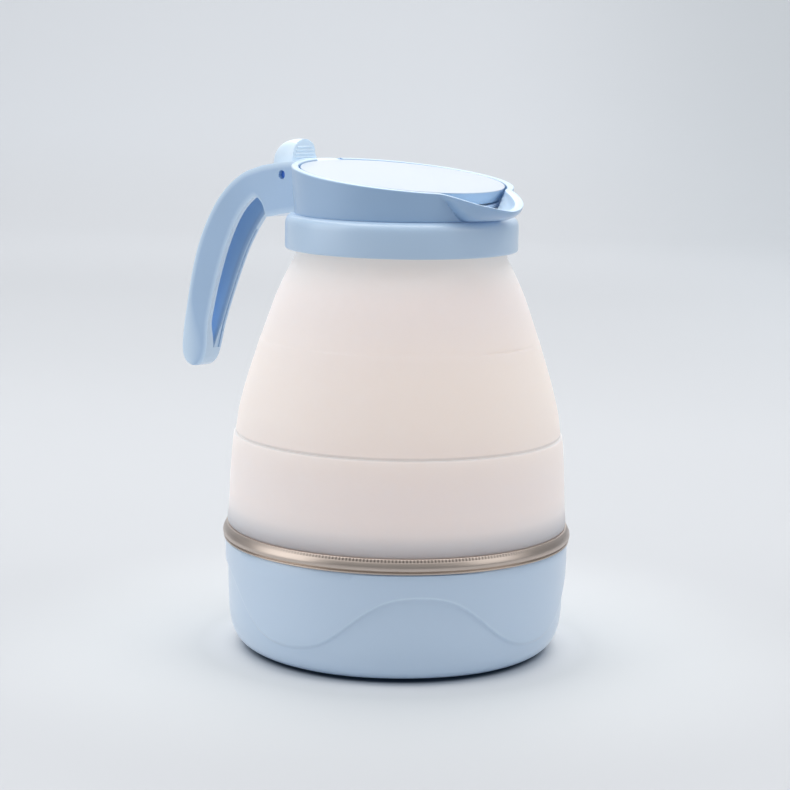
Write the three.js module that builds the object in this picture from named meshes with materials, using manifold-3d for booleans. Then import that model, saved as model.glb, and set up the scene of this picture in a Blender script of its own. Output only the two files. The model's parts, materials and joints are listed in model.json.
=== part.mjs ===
// A collapsible travel kettle: a heated base, a folding silicone body, and a top with
// spout, handle and lid. Millimetres, +Z up.
// The origin is on the kettle's axis, on the surface that it stands on.
// The spout points along +X and the handle along -X.
// The top slides down along the axis, and the lid tips back.
import * as THREE from "three";
import { mergeVertices } from "three/addons/utils/BufferGeometryUtils.js";
import Module from "manifold-3d";

const wasm = await Module();
wasm.setup();

// Clearances that every piece shares
const seatGap = 0.3; // between two pieces that rest against each other
const pinGap = 0.1; // round a pin in its hole
const overrun = 6; // how far a cutting shape runs past what it cuts
const shortOverrun = 2; // the same, where a long one would meet itself
const mergeDistance = 1e-4; // vertices closer than this are one

// How finely round pieces are drawn
const showSegments = 48;
const ringSegments = 72;
const hiddenSegments = 32;
const smallSegments = 16;
const tubeSides = 8;
const wireSides = 6;

// The widest place, from which the other widths of the base and the body follow
const bandRadius = 60.0;

// Base: the blue plastic housing of the heater
const padProud = 1.0; // the underside stands this far above the table
const baseHeight = 36.7; // of the plastic, without the pad
const baseInset = 1.8; // the plain wall's top edge lies this far inside the band
const baseTaper = 0.6; // the wall narrows by this down to its rounded bottom edge
const baseEdgeWidth = 7.1; // width of the rounded bottom edge
const baseEdgeHeight = 12; // and its height
const baseWall = 2.2;
const waveStep = 0.9; // the field above the wave stands proud by this
const waveStepHeight = 0.8;
const waveMiddle = 18.7; // mean height of the wave line above the underside
const waveSwing = 9.8; // the line rises and falls by this
const waveCount = 4;
const waveFullnessShare = 0.25; // how much broader the crests are than a plain wave's
const waveTurn = THREE.MathUtils.degToRad(-39.5); // azimuth of one crest

// Underside: cover, anti-slip pad and screws
const coverMargin = 3.5; // between the cover's edge and the rounded bottom edge
const coverThickness = 2.4;
const padMargin = 7.1; // between the pad's edge and the cover's edge
const padThickness = 1.6;
const screwCount = 3;
const screwHeadRadius = 2.9;
const screwHeadHeight = 0.8;
const screwShankRadius = 1.1;
const screwLength = 11;
const bossRadius = 3.5;
const bossHeight = 12;
const bossWebThickness = 2;
const firstScrewTurn = THREE.MathUtils.degToRad(30);

// Steel: the pan that holds and heats the water, and the band round its rim
const steelThickness = 0.8;
const panDepth = 8; // the pan's floor lies this far below its rim
const panCorner = 5;
const bandHeight = 4.9;
const bandFootInset = 1.0; // from the widest place to the foot's edge
const bandTopInset = 1.4; // from the widest place to the top edge
const bandWall = 1.4; // least wall, at the foot
const bandFlatShare = 0.16; // the band's foot slants out to this share of its height
const bandShoulderShare = 0.45; // and its shoulder starts at this one

// Heater parts under the pan
const heatPlateMargin = 12.9; // between the plate's edge and the pan's inside
const heatPlateThickness = 2.7;
const elementMargin = 3.7; // between the element and the ends of the inlet's pins
const elementTube = 3.3;
const elementOpening = THREE.MathUtils.degToRad(44); // the ring is open by this, towards the inlet
const elementTail = 9; // the ends turn down by this
const thermostatRadius = 8.5;
const thermostatRim = 2.0; // its flange is wider by this
const thermostatFlangeThickness = 1.6;
const thermostatHeight = 7;
const fuseRadius = 2.2;
const fuseLength = 13;
const leadRadius = 1.0;

// Power inlet, on the handle's side
const inletHalfWidth = 12;
const inletHalfHeight = 8.6;
const inletDepth = 17;
const inletWall = 2;
const pinRadius = 1.2;
const pinSpread = 4.3; // the two upper pins lie this far to each side
const pinRise = 0.9; // the two upper pins lie above the middle
const pinDrop = 4.0; // the earth pin lies below the middle
const pinProud = 9; // length of a pin inside the socket
const pinTail = 3; // length behind the socket

// Silicone body: three bands, parted by two folds
const siliconeWall = 2.4;
const lowerBandHeight = 31.7; // up to the lower fold
const middleBandHeight = 32.0; // from fold to fold
const upperBandHeight = 30.3; // from the upper fold to the collar
const bodyInset = 0.3; // the silicone's foot lies this far inside the band's top edge
const lowerLean = 1.8; // how much narrower the lower band is at its top
const foldStep = 0.8; // the ledge at the lower fold
const middleLean = 7.7;
const upperFoldStep = 0.6; // the ledge at the upper fold
const upperLean = 12.0;
const lowerBulge = 0.35; // how far the band swells past a straight cone
const middleBulge = 0.5;
const upperBulge = 1.3;
const siliconeFootDepth = 3.8; // the foot reaches down inside the band
const collapseTravel = 60; // how far the top slides down

// Collar and the neck inside it
const collarHeight = 11.7;
const collarOverhang = 4.2; // the collar stands this far outside the silicone's neck
const collarWall = 2.3;
const collarRounding = 3.3;
const collarFootChamfer = 0.8;
const collarLipHeight = 1.8;
const collarRoof = 2.5; // thickness of the collar's top
const neckWall = 2.2;
const neckDepth = 13.2; // the neck reaches down inside the silicone by this
const neckFlangeHeight = 1.6;
const beadHeight = 2.6; // the silicone ends in a bead under the collar's roof
const beadProud = 1.4;

// Ring with the spout. Its top lies in a plane that falls towards the spout.
const ringInset = 3.1; // the ring's foot lies this far inside the collar
const ringFlare = 1.2; // the ring is this much wider at its top
const ringWall = 2.4;
const ringHeight = 12.8; // on the axis
const lidFall = THREE.MathUtils.degToRad(6.2);
const lipReach = 11.4; // the lip reaches past the ring by this
const lipHalfAngle = THREE.MathUtils.degToRad(28.7);
const lipFootAngle = THREE.MathUtils.degToRad(12); // its foot is as low as the ring's up to here
const lipRimAngle = THREE.MathUtils.degToRad(6.5); // its rim is low up to here
const lipTipAngle = THREE.MathUtils.degToRad(10.6); // and lowest inside this
const lipDrop = 2.7; // the lip's rim lies below the plane by this
const lipTipDrop = 1.0; // and its tip by this much more
const lipThickening = 0.8; // the lip's wall is thicker than the ring's by this
const lipFloor = 1.6;
const lipStartShare = 0.9; // at its sides the lip leaves the wall at this share of the height
const lipSharpness = 1.22; // how quickly the lip narrows towards its tip
const lipFullness = 2.5; // how round its underside is: 2 is a plain circle

// Lid
const lidGap = 0.6; // between the lid's edge and the ring
const lidThickness = 4.2;
const lidTaper = 1.1; // the lid is narrower at its foot, so that it clears the ring when it tips
const lidCrown = 1.2;
const crownShare = 0.8; // part of the crown that is left halfway to the edge
const lidSkin = 2.0;
const lidEdge = 0.5; // chamfer round the lid's top edge
const linerDepth = 2.3;
const plugDepth = 2.0;
const gasketWidth = 2.0;
const gasketThickness = 1.5;

// Hinge and thumb tab, at the root of the handle
const hingeReach = 12.7; // from the ring to the pin
const hingeDrop = 7.5; // the pin lies this far below the plane of the lid, extended to it
const hingePinRadius = 1.5;
const hingePinRecess = 1.3; // the pin ends this far inside the cheeks
const knuckleRadius = 4;
const armThickness = 4.0;
const armPlay = 0.35; // between the arm and each cheek
const tabRise = 12.6; // the tab's top lies this far above the pin
const tabOffset = 3.0; // its ribbed face lies this far in front of the pin
const tabLength = 13.8;
const tabRibs = 4;
const ribPitch = 1.2;
const firstRibRise = 6.1; // above the pin
const ribProud = 0.3;
const ribShare = 0.85; // part of the front face's width that the ribs cross
const tabLean = 0.9; // shape of the tab's back, seen from the side
const tabFullness = 0.5; // the same
const tabRoundness = 0.6; // shape of the tab, seen from the front
const lidOpening = 75; // degrees that the lid tips back

// Handle: a channel, open towards the body
const handleReach = 70.3; // from the ring to its outer edge
const handleTopDrop = 0.34; // its top lies this far below the ring's top edge
const handleDrop = 79.7; // from its top to its tip
const handleWidth = 16.5; // at the neck
const cheekWall = 1.85;
const handleSkin = 2.3;
const neckWebThickness = 2.4;
const slotReach = 26.8; // from the ring to the end of the slot that the tab turns in
const handleGap = 0.4; // between the handle's root and the collar and ring

// Stations of the handle, as shares. Across: 0 at the ring, 1 at the outermost place.
// Down: 0 at the top, 1 at the tip. Each row gives the outer edge and then the inner edge.
const handleShares = [
  [-0.03, -0.005, -0.03, 0.215],
  [0.1, 0.012, 0.093, 0.234],
  [0.205, 0.022, 0.187, 0.247],
  [0.31, 0.036, 0.293, 0.266],
  [0.345, 0.044, 0.297, 0.243],
  [0.385, 0.054, 0.312, 0.21],
  [0.43, 0.068, 0.337, 0.187],
  [0.48, 0.089, 0.37, 0.175],
  [0.55, 0.128, 0.418, 0.2],
  [0.62, 0.176, 0.474, 0.243],
  [0.69, 0.234, 0.52, 0.29],
  [0.76, 0.316, 0.565, 0.345],
  [0.815, 0.395, 0.612, 0.412],
  [0.86, 0.485, 0.655, 0.49],
  [0.9, 0.59, 0.7, 0.585],
  [0.935, 0.7, 0.745, 0.69],
  [0.968, 0.8, 0.782, 0.79],
  [0.99, 0.87, 0.803, 0.86],
  [1.0, 0.92, 0.813, 0.91],
  [0.993, 0.962, 0.828, 0.952],
  [0.965, 0.99, 0.858, 0.982],
  [0.93, 1.0, 0.89, 0.998],
];
// Width of the handle against its height, as shares
const handleWidthShares = [
  [-0.1, 1],
  [0.25, 1],
  [0.32, 0.92],
  [0.42, 0.79],
  [0.52, 0.725],
  [0.7, 0.62],
  [0.86, 0.5],
  [1, 0.42],
];
const channelFirstShare = 0.42; // the channel's cavity starts at this share of the way across
const channelLastShare = 0.915; // and ends at this share of the drop

// Sizes that follow from the driving ones: base
const baseBottom = padProud;
const baseTop = baseBottom + baseHeight;
const baseTopRadius = bandRadius - baseInset;
const baseTopOuterRadius = baseTopRadius + waveStep;
const baseWaistRadius = baseTopRadius - baseTaper;
const baseFlatRadius = baseWaistRadius - baseEdgeWidth;
const coverRadius = baseFlatRadius - coverMargin;
const padRadius = coverRadius - padMargin;
const screwCircle = (coverRadius + padRadius) / 2; // radius of the circle that the screws stand on
const rimHeight = baseTop + seatGap; // the pan's rim rests here
const rimTop = rimHeight + steelThickness;
const bandTop = rimHeight + bandHeight;
const bandFootRadius = bandRadius - bandFootInset;
const bandTopRadius = bandRadius - bandTopInset;
const bandInnerRadius = bandFootRadius - bandWall;
const panRimRadius = bandInnerRadius - seatGap;
const panInnerRadius = baseTopRadius - baseWall - seatGap - steelThickness;
const panFloor = rimTop - panDepth;
const panUnderside = panFloor - steelThickness;
const heatPlateRadius = panInnerRadius - heatPlateMargin;
const heatPlateTop = panUnderside - seatGap;
const heatPlateBottom = heatPlateTop - heatPlateThickness;
const elementHeight = heatPlateBottom - seatGap - elementTube;
const thermostatFlange = thermostatRadius + thermostatRim;
const coverTop = baseBottom + coverThickness;
const inletHeight = (coverTop + panUnderside) / 2; // its middle lies halfway up the free space
const inletFace = -Math.sqrt(baseWaistRadius ** 2 - inletHalfWidth ** 2) + seatGap;
const inletBack = inletFace + inletDepth;
const windowHalfWidth = inletHalfWidth + seatGap;
const windowHalfHeight = inletHalfHeight + seatGap;
const elementRadius = -(inletBack + pinTail) - elementMargin - elementTube; // its middle line
const freeRadius = (thermostatFlange + elementRadius - elementTube) / 2; // between the two

// The silicone body, from its foot up
const siliconeStart = bandTop + seatGap;
const lowerFoldHeight = siliconeStart + lowerBandHeight;
const upperFoldHeight = lowerFoldHeight + middleBandHeight;
const collarFoot = upperFoldHeight + upperBandHeight;
const lowerFootRadius = bandTopRadius - bodyInset;
const lowerTopRadius = lowerFootRadius - lowerLean;
const middleFootRadius = lowerTopRadius - foldStep;
const middleTopRadius = middleFootRadius - middleLean;
const upperFootRadius = middleTopRadius - upperFoldStep;
const upperTopRadius = upperFootRadius - upperLean;

// The top
const collarTop = collarFoot + collarHeight;
const collarRadius = upperTopRadius + collarOverhang;
const neckOuterRadius = upperTopRadius - siliconeWall - seatGap;
const neckInnerRadius = neckOuterRadius - neckWall;
const ringFoot = collarTop + seatGap;
const ringFootRadius = collarRadius - ringInset;
const ringTopRadius = ringFootRadius + ringFlare;
const lidPlaneHeight = ringFoot + ringHeight; // height of the ring's plane on the axis
const lidRadius = ringTopRadius - ringWall - lidGap;
const lidSlope = Math.tan(lidFall);
const handleTopHeight = lidPlaneHeight + lidSlope * ringTopRadius - handleTopDrop;
const hingeX = -(ringTopRadius + hingeReach);
const hingeHeight = lidPlaneHeight - lidSlope * hingeX - hingeDrop;
const slotHalfWidth = handleWidth / 2 - cheekWall;
const armHalfWidth = slotHalfWidth - armPlay;
const sillHeight = hingeHeight + armPlay; // the lid's arm passes above this

// Height of the plane that the ring and the lid share, above a place along X
function lidPlane(x) {
  return lidPlaneHeight - lidSlope * x;
}

// A closed geometry as a solid that can be cut and joined
function solid(geometry) {
  for (const name of ["normal", "uv"]) {
    if (geometry.hasAttribute(name)) geometry.deleteAttribute(name);
  }
  const merged = mergeVertices(geometry, mergeDistance);
  const index = merged.index.array;
  const faces = [];
  for (let i = 0; i < index.length; i += 3) {
    const [a, b, c] = index.slice(i, i + 3);
    if (a !== b && b !== c && c !== a) faces.push([a, b, c]);
  }
  const build = (list) =>
    new wasm.Manifold(
      new wasm.Mesh({
        numProp: 3,
        vertProperties: merged.attributes.position.array,
        triVerts: Uint32Array.from(list.flat()),
      }),
    );
  const made = build(faces);
  if (made.volume() > 0) return made;
  return build(faces.map(([a, b, c]) => [a, c, b]));
}

// A profile of [radius, height] points turned round the axis. It is closed here where it is a ring.
function turned(profile, segments = showSegments) {
  const onAxis = profile[0][0] === 0;
  const closed = onAxis ? profile : [...profile, profile[0]];
  const points = closed.map(([radius, height]) => new THREE.Vector2(radius, height));
  return solid(new THREE.LatheGeometry(points, segments).rotateX(Math.PI / 2));
}

// A ring whose closed profile of [radius, height] points changes with the azimuth
function shapedRing(profileAt, segments = ringSegments) {
  const positions = [];
  const rows = profileAt(0).length;
  for (let j = 0; j < segments; j++) {
    const azimuth = (j / segments) * Math.PI * 2;
    for (const [radius, height] of profileAt(azimuth)) {
      positions.push(radius * Math.cos(azimuth), radius * Math.sin(azimuth), height);
    }
  }
  const index = [];
  for (let j = 0; j < segments; j++) {
    for (let i = 0; i < rows; i++) {
      const here = j * rows + i;
      const up = j * rows + ((i + 1) % rows);
      const next = ((j + 1) % segments) * rows + i;
      const nextUp = ((j + 1) % segments) * rows + ((i + 1) % rows);
      index.push(here, next, nextUp, here, nextUp, up);
    }
  }
  const geometry = new THREE.BufferGeometry();
  geometry.setAttribute("position", new THREE.Float32BufferAttribute(positions, 3));
  geometry.setIndex(index);
  return solid(geometry);
}

// A strut of four-cornered sections. Each station is [outerX, outerZ, innerX, innerZ, halfWidth].
function strut(stations) {
  const positions = stations.flatMap(([outerX, outerZ, innerX, innerZ, half]) => [
    [outerX, -half, outerZ],
    [outerX, half, outerZ],
    [innerX, half, innerZ],
    [innerX, -half, innerZ],
  ]);
  const index = [];
  for (let i = 0; i + 1 < stations.length; i++) {
    for (let k = 0; k < 4; k++) {
      const here = i * 4 + k;
      const side = i * 4 + ((k + 1) % 4);
      index.push(here, side, side + 4, here, side + 4, here + 4);
    }
  }
  const last = (stations.length - 1) * 4;
  index.push(0, 3, 2, 0, 2, 1, last, last + 1, last + 2, last, last + 2, last + 3);
  const geometry = new THREE.BufferGeometry();
  geometry.setAttribute("position", new THREE.Float32BufferAttribute(positions.flat(), 3));
  geometry.setIndex(index);
  return solid(geometry);
}

// A block between two corners
function block([x0, y0, z0], [x1, y1, z1]) {
  const geometry = new THREE.BoxGeometry(x1 - x0, y1 - y0, z1 - z0);
  geometry.translate((x0 + x1) / 2, (y0 + y1) / 2, (z0 + z1) / 2);
  return solid(geometry);
}

// A round bar from one height to another
function post(radius, bottom, top, x = 0, y = 0, segments = smallSegments) {
  const geometry = new THREE.CylinderGeometry(radius, radius, top - bottom, segments);
  geometry.rotateX(Math.PI / 2);
  geometry.translate(x, y, (bottom + top) / 2);
  return solid(geometry);
}

// A round bar along Y, its middle on the plane of the handle
function crossBar(radius, length, x, z, segments = smallSegments) {
  const geometry = new THREE.CylinderGeometry(radius, radius, length, segments);
  geometry.translate(x, 0, z);
  return solid(geometry);
}

// A round bar along X
function alongBar(radius, x0, x1, y, z, segments = smallSegments) {
  const geometry = new THREE.CylinderGeometry(radius, radius, x1 - x0, segments);
  geometry.rotateZ(Math.PI / 2);
  geometry.translate((x0 + x1) / 2, y, z);
  return solid(geometry);
}

// An outline of [x, z] points, or a shape, extruded along Y by a width, its middle on the handle's plane
function sidePlate(outline, width) {
  const shape = new THREE.Shape(outline.map(([x, z]) => new THREE.Vector2(x, z)));
  const geometry = new THREE.ExtrudeGeometry(shape, { depth: width, bevelEnabled: false });
  geometry.rotateX(Math.PI / 2);
  geometry.translate(0, width / 2, 0);
  return solid(geometry);
}

// An outline of [y, z] points extruded along X, from a place along it
function frontPlate(outline, x0, length) {
  const shape = new THREE.Shape(outline.map(([y, z]) => new THREE.Vector2(y, z)));
  const geometry = new THREE.ExtrudeGeometry(shape, { depth: length, bevelEnabled: false });
  geometry.rotateX(Math.PI / 2);
  geometry.rotateZ(Math.PI / 2);
  geometry.translate(x0, 0, 0);
  return solid(geometry);
}

// A round wire or tube through points
function wire(points, radius, steps, sides = wireSides) {
  const curve = new THREE.CatmullRomCurve3(points.map(([x, y, z]) => new THREE.Vector3(x, y, z)));
  const section = new THREE.Shape();
  section.absarc(0, 0, radius, 0, Math.PI * 2, false);
  const settings = { steps, curveSegments: sides, bevelEnabled: false, extrudePath: curve };
  return solid(new THREE.ExtrudeGeometry(section, settings));
}

// Points on a quarter of an ellipse, from low and near the axis to high and far from it
function roundedEdge(startRadius, startHeight, across, up, steps) {
  const points = [];
  for (let i = 0; i <= steps; i++) {
    const turn = (i / steps) * (Math.PI / 2);
    points.push([startRadius + across * Math.sin(turn), startHeight + up * (1 - Math.cos(turn))]);
  }
  return points;
}

// Points up a wall that swells past the straight line between its two ends
function swollenWall(footRadius, footHeight, topRadius, topHeight, bulge, steps) {
  const points = [];
  for (let i = 0; i <= steps; i++) {
    const share = i / steps;
    const straight = footRadius + (topRadius - footRadius) * share;
    const swell = bulge * 4 * share * (1 - share);
    points.push([straight + swell, footHeight + (topHeight - footHeight) * share]);
  }
  return points;
}

const kettle = new THREE.Group();
kettle.name = "collapsible_kettle";

const finishes = {
  bluePlastic: { color: 0xaecbe8, roughness: 0.42, metalness: 0 },
  whiteLiner: { color: 0xe9eef4, roughness: 0.5, metalness: 0 },
  silicone: { color: 0xe4dad5, roughness: 0.55, metalness: 0 },
  steel: { color: 0xc9c3bc, roughness: 0.28, metalness: 1 },
  aluminium: { color: 0xb9bcc0, roughness: 0.45, metalness: 1 },
  brass: { color: 0xc9a860, roughness: 0.35, metalness: 1 },
  rubber: { color: 0x8b8f94, roughness: 0.8, metalness: 0 },
  darkPlastic: { color: 0x35383c, roughness: 0.5, metalness: 0 },
  redLead: { color: 0xb23a30, roughness: 0.6, metalness: 0 },
  paleLead: { color: 0xd8d8d2, roughness: 0.6, metalness: 0 },
  earthLead: { color: 0x6f9a3a, roughness: 0.6, metalness: 0 },
};

// Adds a finished solid to the kettle as a named piece
function add(name, shape, finish) {
  const mesh = shape.getMesh();
  const positions = [];
  for (let i = 0; i < mesh.numVert; i++) {
    positions.push(...mesh.vertProperties.slice(i * mesh.numProp, i * mesh.numProp + 3));
  }
  const geometry = new THREE.BufferGeometry();
  geometry.setAttribute("position", new THREE.Float32BufferAttribute(positions, 3));
  geometry.setIndex(new THREE.BufferAttribute(new Uint32Array(mesh.triVerts), 1));
  geometry.computeVertexNormals();
  const piece = new THREE.Mesh(geometry, new THREE.MeshStandardMaterial(finishes[finish]));
  piece.name = name;
  kettle.add(piece);
}

// Base shell: radius of its outer face under the wave's raised field
function baseRadiusAt(height) {
  const rise = height - baseBottom;
  if (rise < baseEdgeHeight) {
    const cosine = 1 - rise / baseEdgeHeight;
    const sine = Math.sqrt(Math.max(0, 1 - cosine * cosine));
    return baseFlatRadius + (baseWaistRadius - baseFlatRadius) * sine;
  }
  const share = (rise - baseEdgeHeight) / (baseHeight - baseEdgeHeight);
  return baseWaistRadius + (baseTopRadius - baseWaistRadius) * share;
}

// Azimuths of the screws, which keep clear of the inlet
const screwTurns = [];
for (let i = 0; i < screwCount; i++) {
  screwTurns.push(firstScrewTurn + (i / screwCount) * Math.PI * 2);
}
const screwPlaces = screwTurns.map((turn) => [
  screwCircle * Math.cos(turn),
  screwCircle * Math.sin(turn),
]);
const bossFoot = coverTop + seatGap;

// Base shell: a wall with a wavy step, a rounded bottom edge, screw bosses and the inlet's window
function baseShell() {
  const lowShares = [0, 0.05, 0.2, 0.5, 1];
  const highShares = [1];
  const openingRadius = coverRadius + seatGap;
  const innerFloor = baseBottom + baseWall;
  const innerAcross = baseWaistRadius - baseWall - baseFlatRadius;
  const innerUp = baseEdgeHeight - baseWall;
  const innerEdge = roundedEdge(baseFlatRadius, innerFloor, innerAcross, innerUp, 2);
  const inner = [...innerEdge, [baseTopRadius - baseWall, baseTop]].reverse();
  const wall = shapedRing((azimuth) => {
    const swing = Math.cos(waveCount * (azimuth - waveTurn));
    const fuller = swing * (1 + waveFullnessShare * (1 - swing * swing));
    const wave = baseBottom + waveMiddle + waveSwing * fuller;
    const low = lowShares.map((share) => {
      const height = baseBottom + share * (wave - baseBottom);
      return [baseRadiusAt(height), height];
    });
    const stepTop = wave + waveStepHeight;
    const step = [baseRadiusAt(stepTop) + waveStep, stepTop];
    const high = highShares.map((share) => {
      const height = stepTop + share * (baseTop - stepTop);
      return [baseRadiusAt(height) + waveStep, height];
    });
    return [
      [openingRadius, baseBottom],
      ...low,
      step,
      ...high,
      ...inner,
      [openingRadius, innerFloor],
    ];
  });
  let shell = wall;
  for (const turn of screwTurns) {
    const webEnd = baseFlatRadius + baseWall;
    const web = block(
      [screwCircle, -bossWebThickness / 2, bossFoot],
      [webEnd, bossWebThickness / 2, bossFoot + bossHeight],
    );
    const boss = post(bossRadius, bossFoot, bossFoot + bossHeight, screwCircle);
    const boreEnd = bossFoot + bossHeight - baseWall;
    const bore = post(screwShankRadius + pinGap, bossFoot - overrun, boreEnd, screwCircle);
    const mount = boss.add(web).subtract(bore);
    shell = shell.add(mount.rotate([0, 0, THREE.MathUtils.radToDeg(turn)]));
  }
  const window = block(
    [-baseTopOuterRadius - overrun, -windowHalfWidth, inletHeight - windowHalfHeight],
    [-screwCircle, windowHalfWidth, inletHeight + windowHalfHeight],
  );
  return shell.subtract(window);
}
add("base_shell", baseShell(), "bluePlastic");

// Bottom cover: a plate with a recess for the pad and sunk holes for the screws
const padRecess = padThickness + seatGap - padProud;
let cover = turned([
  [0, baseBottom + padRecess],
  [padRadius + seatGap, baseBottom + padRecess],
  [padRadius + seatGap, baseBottom],
  [coverRadius, baseBottom],
  [coverRadius, coverTop],
  [0, coverTop],
]);
const sinkDepth = screwHeadHeight + 2 * seatGap;
for (const [x, y] of screwPlaces) {
  const sink = post(screwHeadRadius + pinGap, baseBottom - overrun, baseBottom + sinkDepth, x, y);
  const hole = post(screwShankRadius + pinGap, baseBottom, coverTop + overrun, x, y);
  cover = cover.subtract(sink).subtract(hole);
}
add("bottom_cover", cover, "bluePlastic");
const padProfile = [[0, 0], [padRadius, 0], [padRadius, padThickness], [0, padThickness]];
add("anti_slip_pad", turned(padProfile, hiddenSegments), "rubber");

// Screws, each with its head in the cover and its shank in a boss
const screwHeadTop = baseBottom + sinkDepth - seatGap;
screwPlaces.forEach(([x, y], i) => {
  const head = post(screwHeadRadius, screwHeadTop - screwHeadHeight, screwHeadTop, x, y);
  const shankFoot = screwHeadTop - screwHeadHeight / 2;
  const shank = post(screwShankRadius, shankFoot, screwHeadTop + screwLength, x, y);
  add("bottom_screw_" + (i + 1), head.add(shank), "steel");
});

// Heating pan: floor, rounded corner, wall and a rim that rests on the shell
const panOuterRadius = panInnerRadius + steelThickness;
add(
  "heating_pan",
  turned([
    [0, panUnderside],
    ...roundedEdge(panOuterRadius - panCorner, panUnderside, panCorner, panCorner, 2),
    [panOuterRadius, rimHeight],
    [panRimRadius, rimHeight],
    [panRimRadius, rimTop],
    [panInnerRadius, rimTop],
    ...roundedEdge(
      panOuterRadius - panCorner,
      panFloor,
      panCorner - steelThickness,
      panCorner - steelThickness,
      2,
    ).reverse(),
    [0, panFloor],
  ]),
  "steel",
);

// Steel band: the polished ring between the plastic and the silicone
add(
  "steel_band",
  turned([
    [bandInnerRadius, rimHeight],
    [bandFootRadius, rimHeight],
    [bandRadius, rimHeight + bandFlatShare * bandHeight],
    [bandRadius, rimHeight + bandShoulderShare * bandHeight],
    [bandTopRadius, bandTop],
    [bandInnerRadius, bandTop],
  ]),
  "steel",
);

// Silicone body. The lower band's foot is held between the pan's rim and the steel band.
const footOuterRadius = bandInnerRadius - seatGap;
const footBottom = Math.max(rimTop + seatGap, siliconeStart - siliconeFootDepth);
const lowerOuter = swollenWall(
  lowerFootRadius, siliconeStart, lowerTopRadius, lowerFoldHeight - seatGap / 2, lowerBulge, 2,
);
const inward = (points) => points.map(([radius, height]) => [radius - siliconeWall, height]).reverse();
add(
  "body_lower_band",
  turned([
    [footOuterRadius - siliconeWall, footBottom],
    [footOuterRadius, footBottom],
    [footOuterRadius, siliconeStart],
    ...lowerOuter,
    ...inward(lowerOuter),
    [footOuterRadius - siliconeWall, siliconeStart],
  ]),
  "silicone",
);
const middleOuter = swollenWall(
  middleFootRadius,
  lowerFoldHeight + seatGap / 2,
  middleTopRadius,
  upperFoldHeight - seatGap / 2,
  middleBulge,
  2,
);
add("body_middle_band", turned([...middleOuter, ...inward(middleOuter)]), "silicone");
const upperOuter = swollenWall(
  upperFootRadius,
  upperFoldHeight + seatGap / 2,
  upperTopRadius,
  collarFoot,
  upperBulge,
  4,
);
const beadTop = collarTop - collarRoof - seatGap;
const beadFoot = beadTop - beadHeight;
add(
  "body_upper_band",
  turned([
    ...upperOuter,
    [upperTopRadius, beadFoot],
    [upperTopRadius + beadProud, beadFoot],
    [upperTopRadius + beadProud, beadTop],
    [upperTopRadius - siliconeWall, beadTop],
    ...inward(upperOuter),
  ]),
  "silicone",
);

// Collar: grips the silicone from outside and carries the ring
const collarInnerRadius = collarRadius - collarWall;
const collarLipRadius = upperTopRadius + 2 * seatGap;
const shoulder = roundedEdge(
  collarRadius - collarRounding, -collarTop, collarRounding, collarRounding, 3,
).map(([radius, height]) => [radius, -height]).reverse();
const collarProfile = [
  [collarLipRadius, collarFoot],
  [collarRadius - collarFootChamfer / 2, collarFoot],
  [collarRadius, collarFoot + collarFootChamfer],
  ...shoulder,
  [neckOuterRadius + seatGap, collarTop],
  [neckOuterRadius + seatGap, collarTop - collarRoof],
  [collarInnerRadius, collarTop - collarRoof],
  [collarInnerRadius, collarFoot + collarLipHeight],
  [collarLipRadius, collarFoot + collarLipHeight],
];
add("collar", turned(collarProfile), "bluePlastic");

// Neck ring: a sleeve inside the silicone, with a flange on the collar's top
const neckFlangeRadius = ringFootRadius - ringWall - seatGap;
add(
  "neck_ring",
  turned([
    [neckInnerRadius, ringFoot - neckDepth],
    [neckOuterRadius, ringFoot - neckDepth],
    [neckOuterRadius, ringFoot],
    [neckFlangeRadius, ringFoot],
    [neckFlangeRadius, ringFoot + neckFlangeHeight],
    [neckInnerRadius, ringFoot + neckFlangeHeight],
  ]),
  "whiteLiner",
);

// A smooth passage from 0 to 1
function eased(share) {
  const held = Math.min(1, Math.max(0, share));
  return held * held * (3 - 2 * held);
}

// How far the bow of the lip has swept out at a share of its height
function bow(share) {
  const rest = 1 - Math.min(1, Math.max(0, share));
  return (1 - rest ** lipFullness) ** (1 / lipFullness);
}

// The lip at an azimuth: how far it is drawn out, how low its rim lies, and where it leaves the wall
function lipAt(azimuth) {
  const turn = Math.abs(Math.atan2(Math.sin(azimuth), Math.cos(azimuth)));
  const share = Math.min(1, turn / lipHalfAngle);
  const reach = lipReach * Math.max(0, Math.cos((share * Math.PI) / 2)) ** lipSharpness;
  const side = eased((lipHalfAngle - turn) / (lipHalfAngle - lipRimAngle));
  const tip = eased(1 - turn / lipTipAngle);
  const start = lipStartShare * eased((turn - lipFootAngle) / (lipHalfAngle - lipFootAngle));
  return { reach, drop: lipDrop * side + lipTipDrop * tip, start };
}

// Spout ring: a wall that flares a little, its top in the lid's plane, drawn out into a lip at the front
function spoutRing() {
  const shares = [0, 0.05, 0.18, 0.45, 1];
  const wall = shapedRing((azimuth) => {
    const { reach, drop, start } = lipAt(azimuth);
    const top = lidPlane((ringTopRadius + reach) * Math.cos(azimuth)) - drop;
    const flareAt = (height) => ringFlare * Math.min(1, (height - ringFoot) / ringHeight);
    const face = (floor, inset, thickening) =>
      shares.map((share) => {
        const height = floor + share * (top - floor);
        const drawn = (reach - Math.min(thickening, reach / 2)) * bow(share);
        return [ringFootRadius + flareAt(height) - inset + drawn, height];
      });
    const leave = ringFoot + start * (top - ringFoot);
    const inner = face(leave + lipFloor * (1 - start), ringWall, lipThickening).reverse();
    return [
      [ringFootRadius, ringFoot],
      ...face(leave, 0, 0).slice(1),
      ...inner,
      [ringFootRadius - ringWall, ringFoot],
    ];
  });
  const notch = block(
    [-ringTopRadius - overrun, -slotHalfWidth, sillHeight],
    [0, slotHalfWidth, lidPlane(-ringTopRadius) + overrun],
  );
  return wall.subtract(notch);
}
add("spout_ring", spoutRing(), "bluePlastic");

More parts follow.
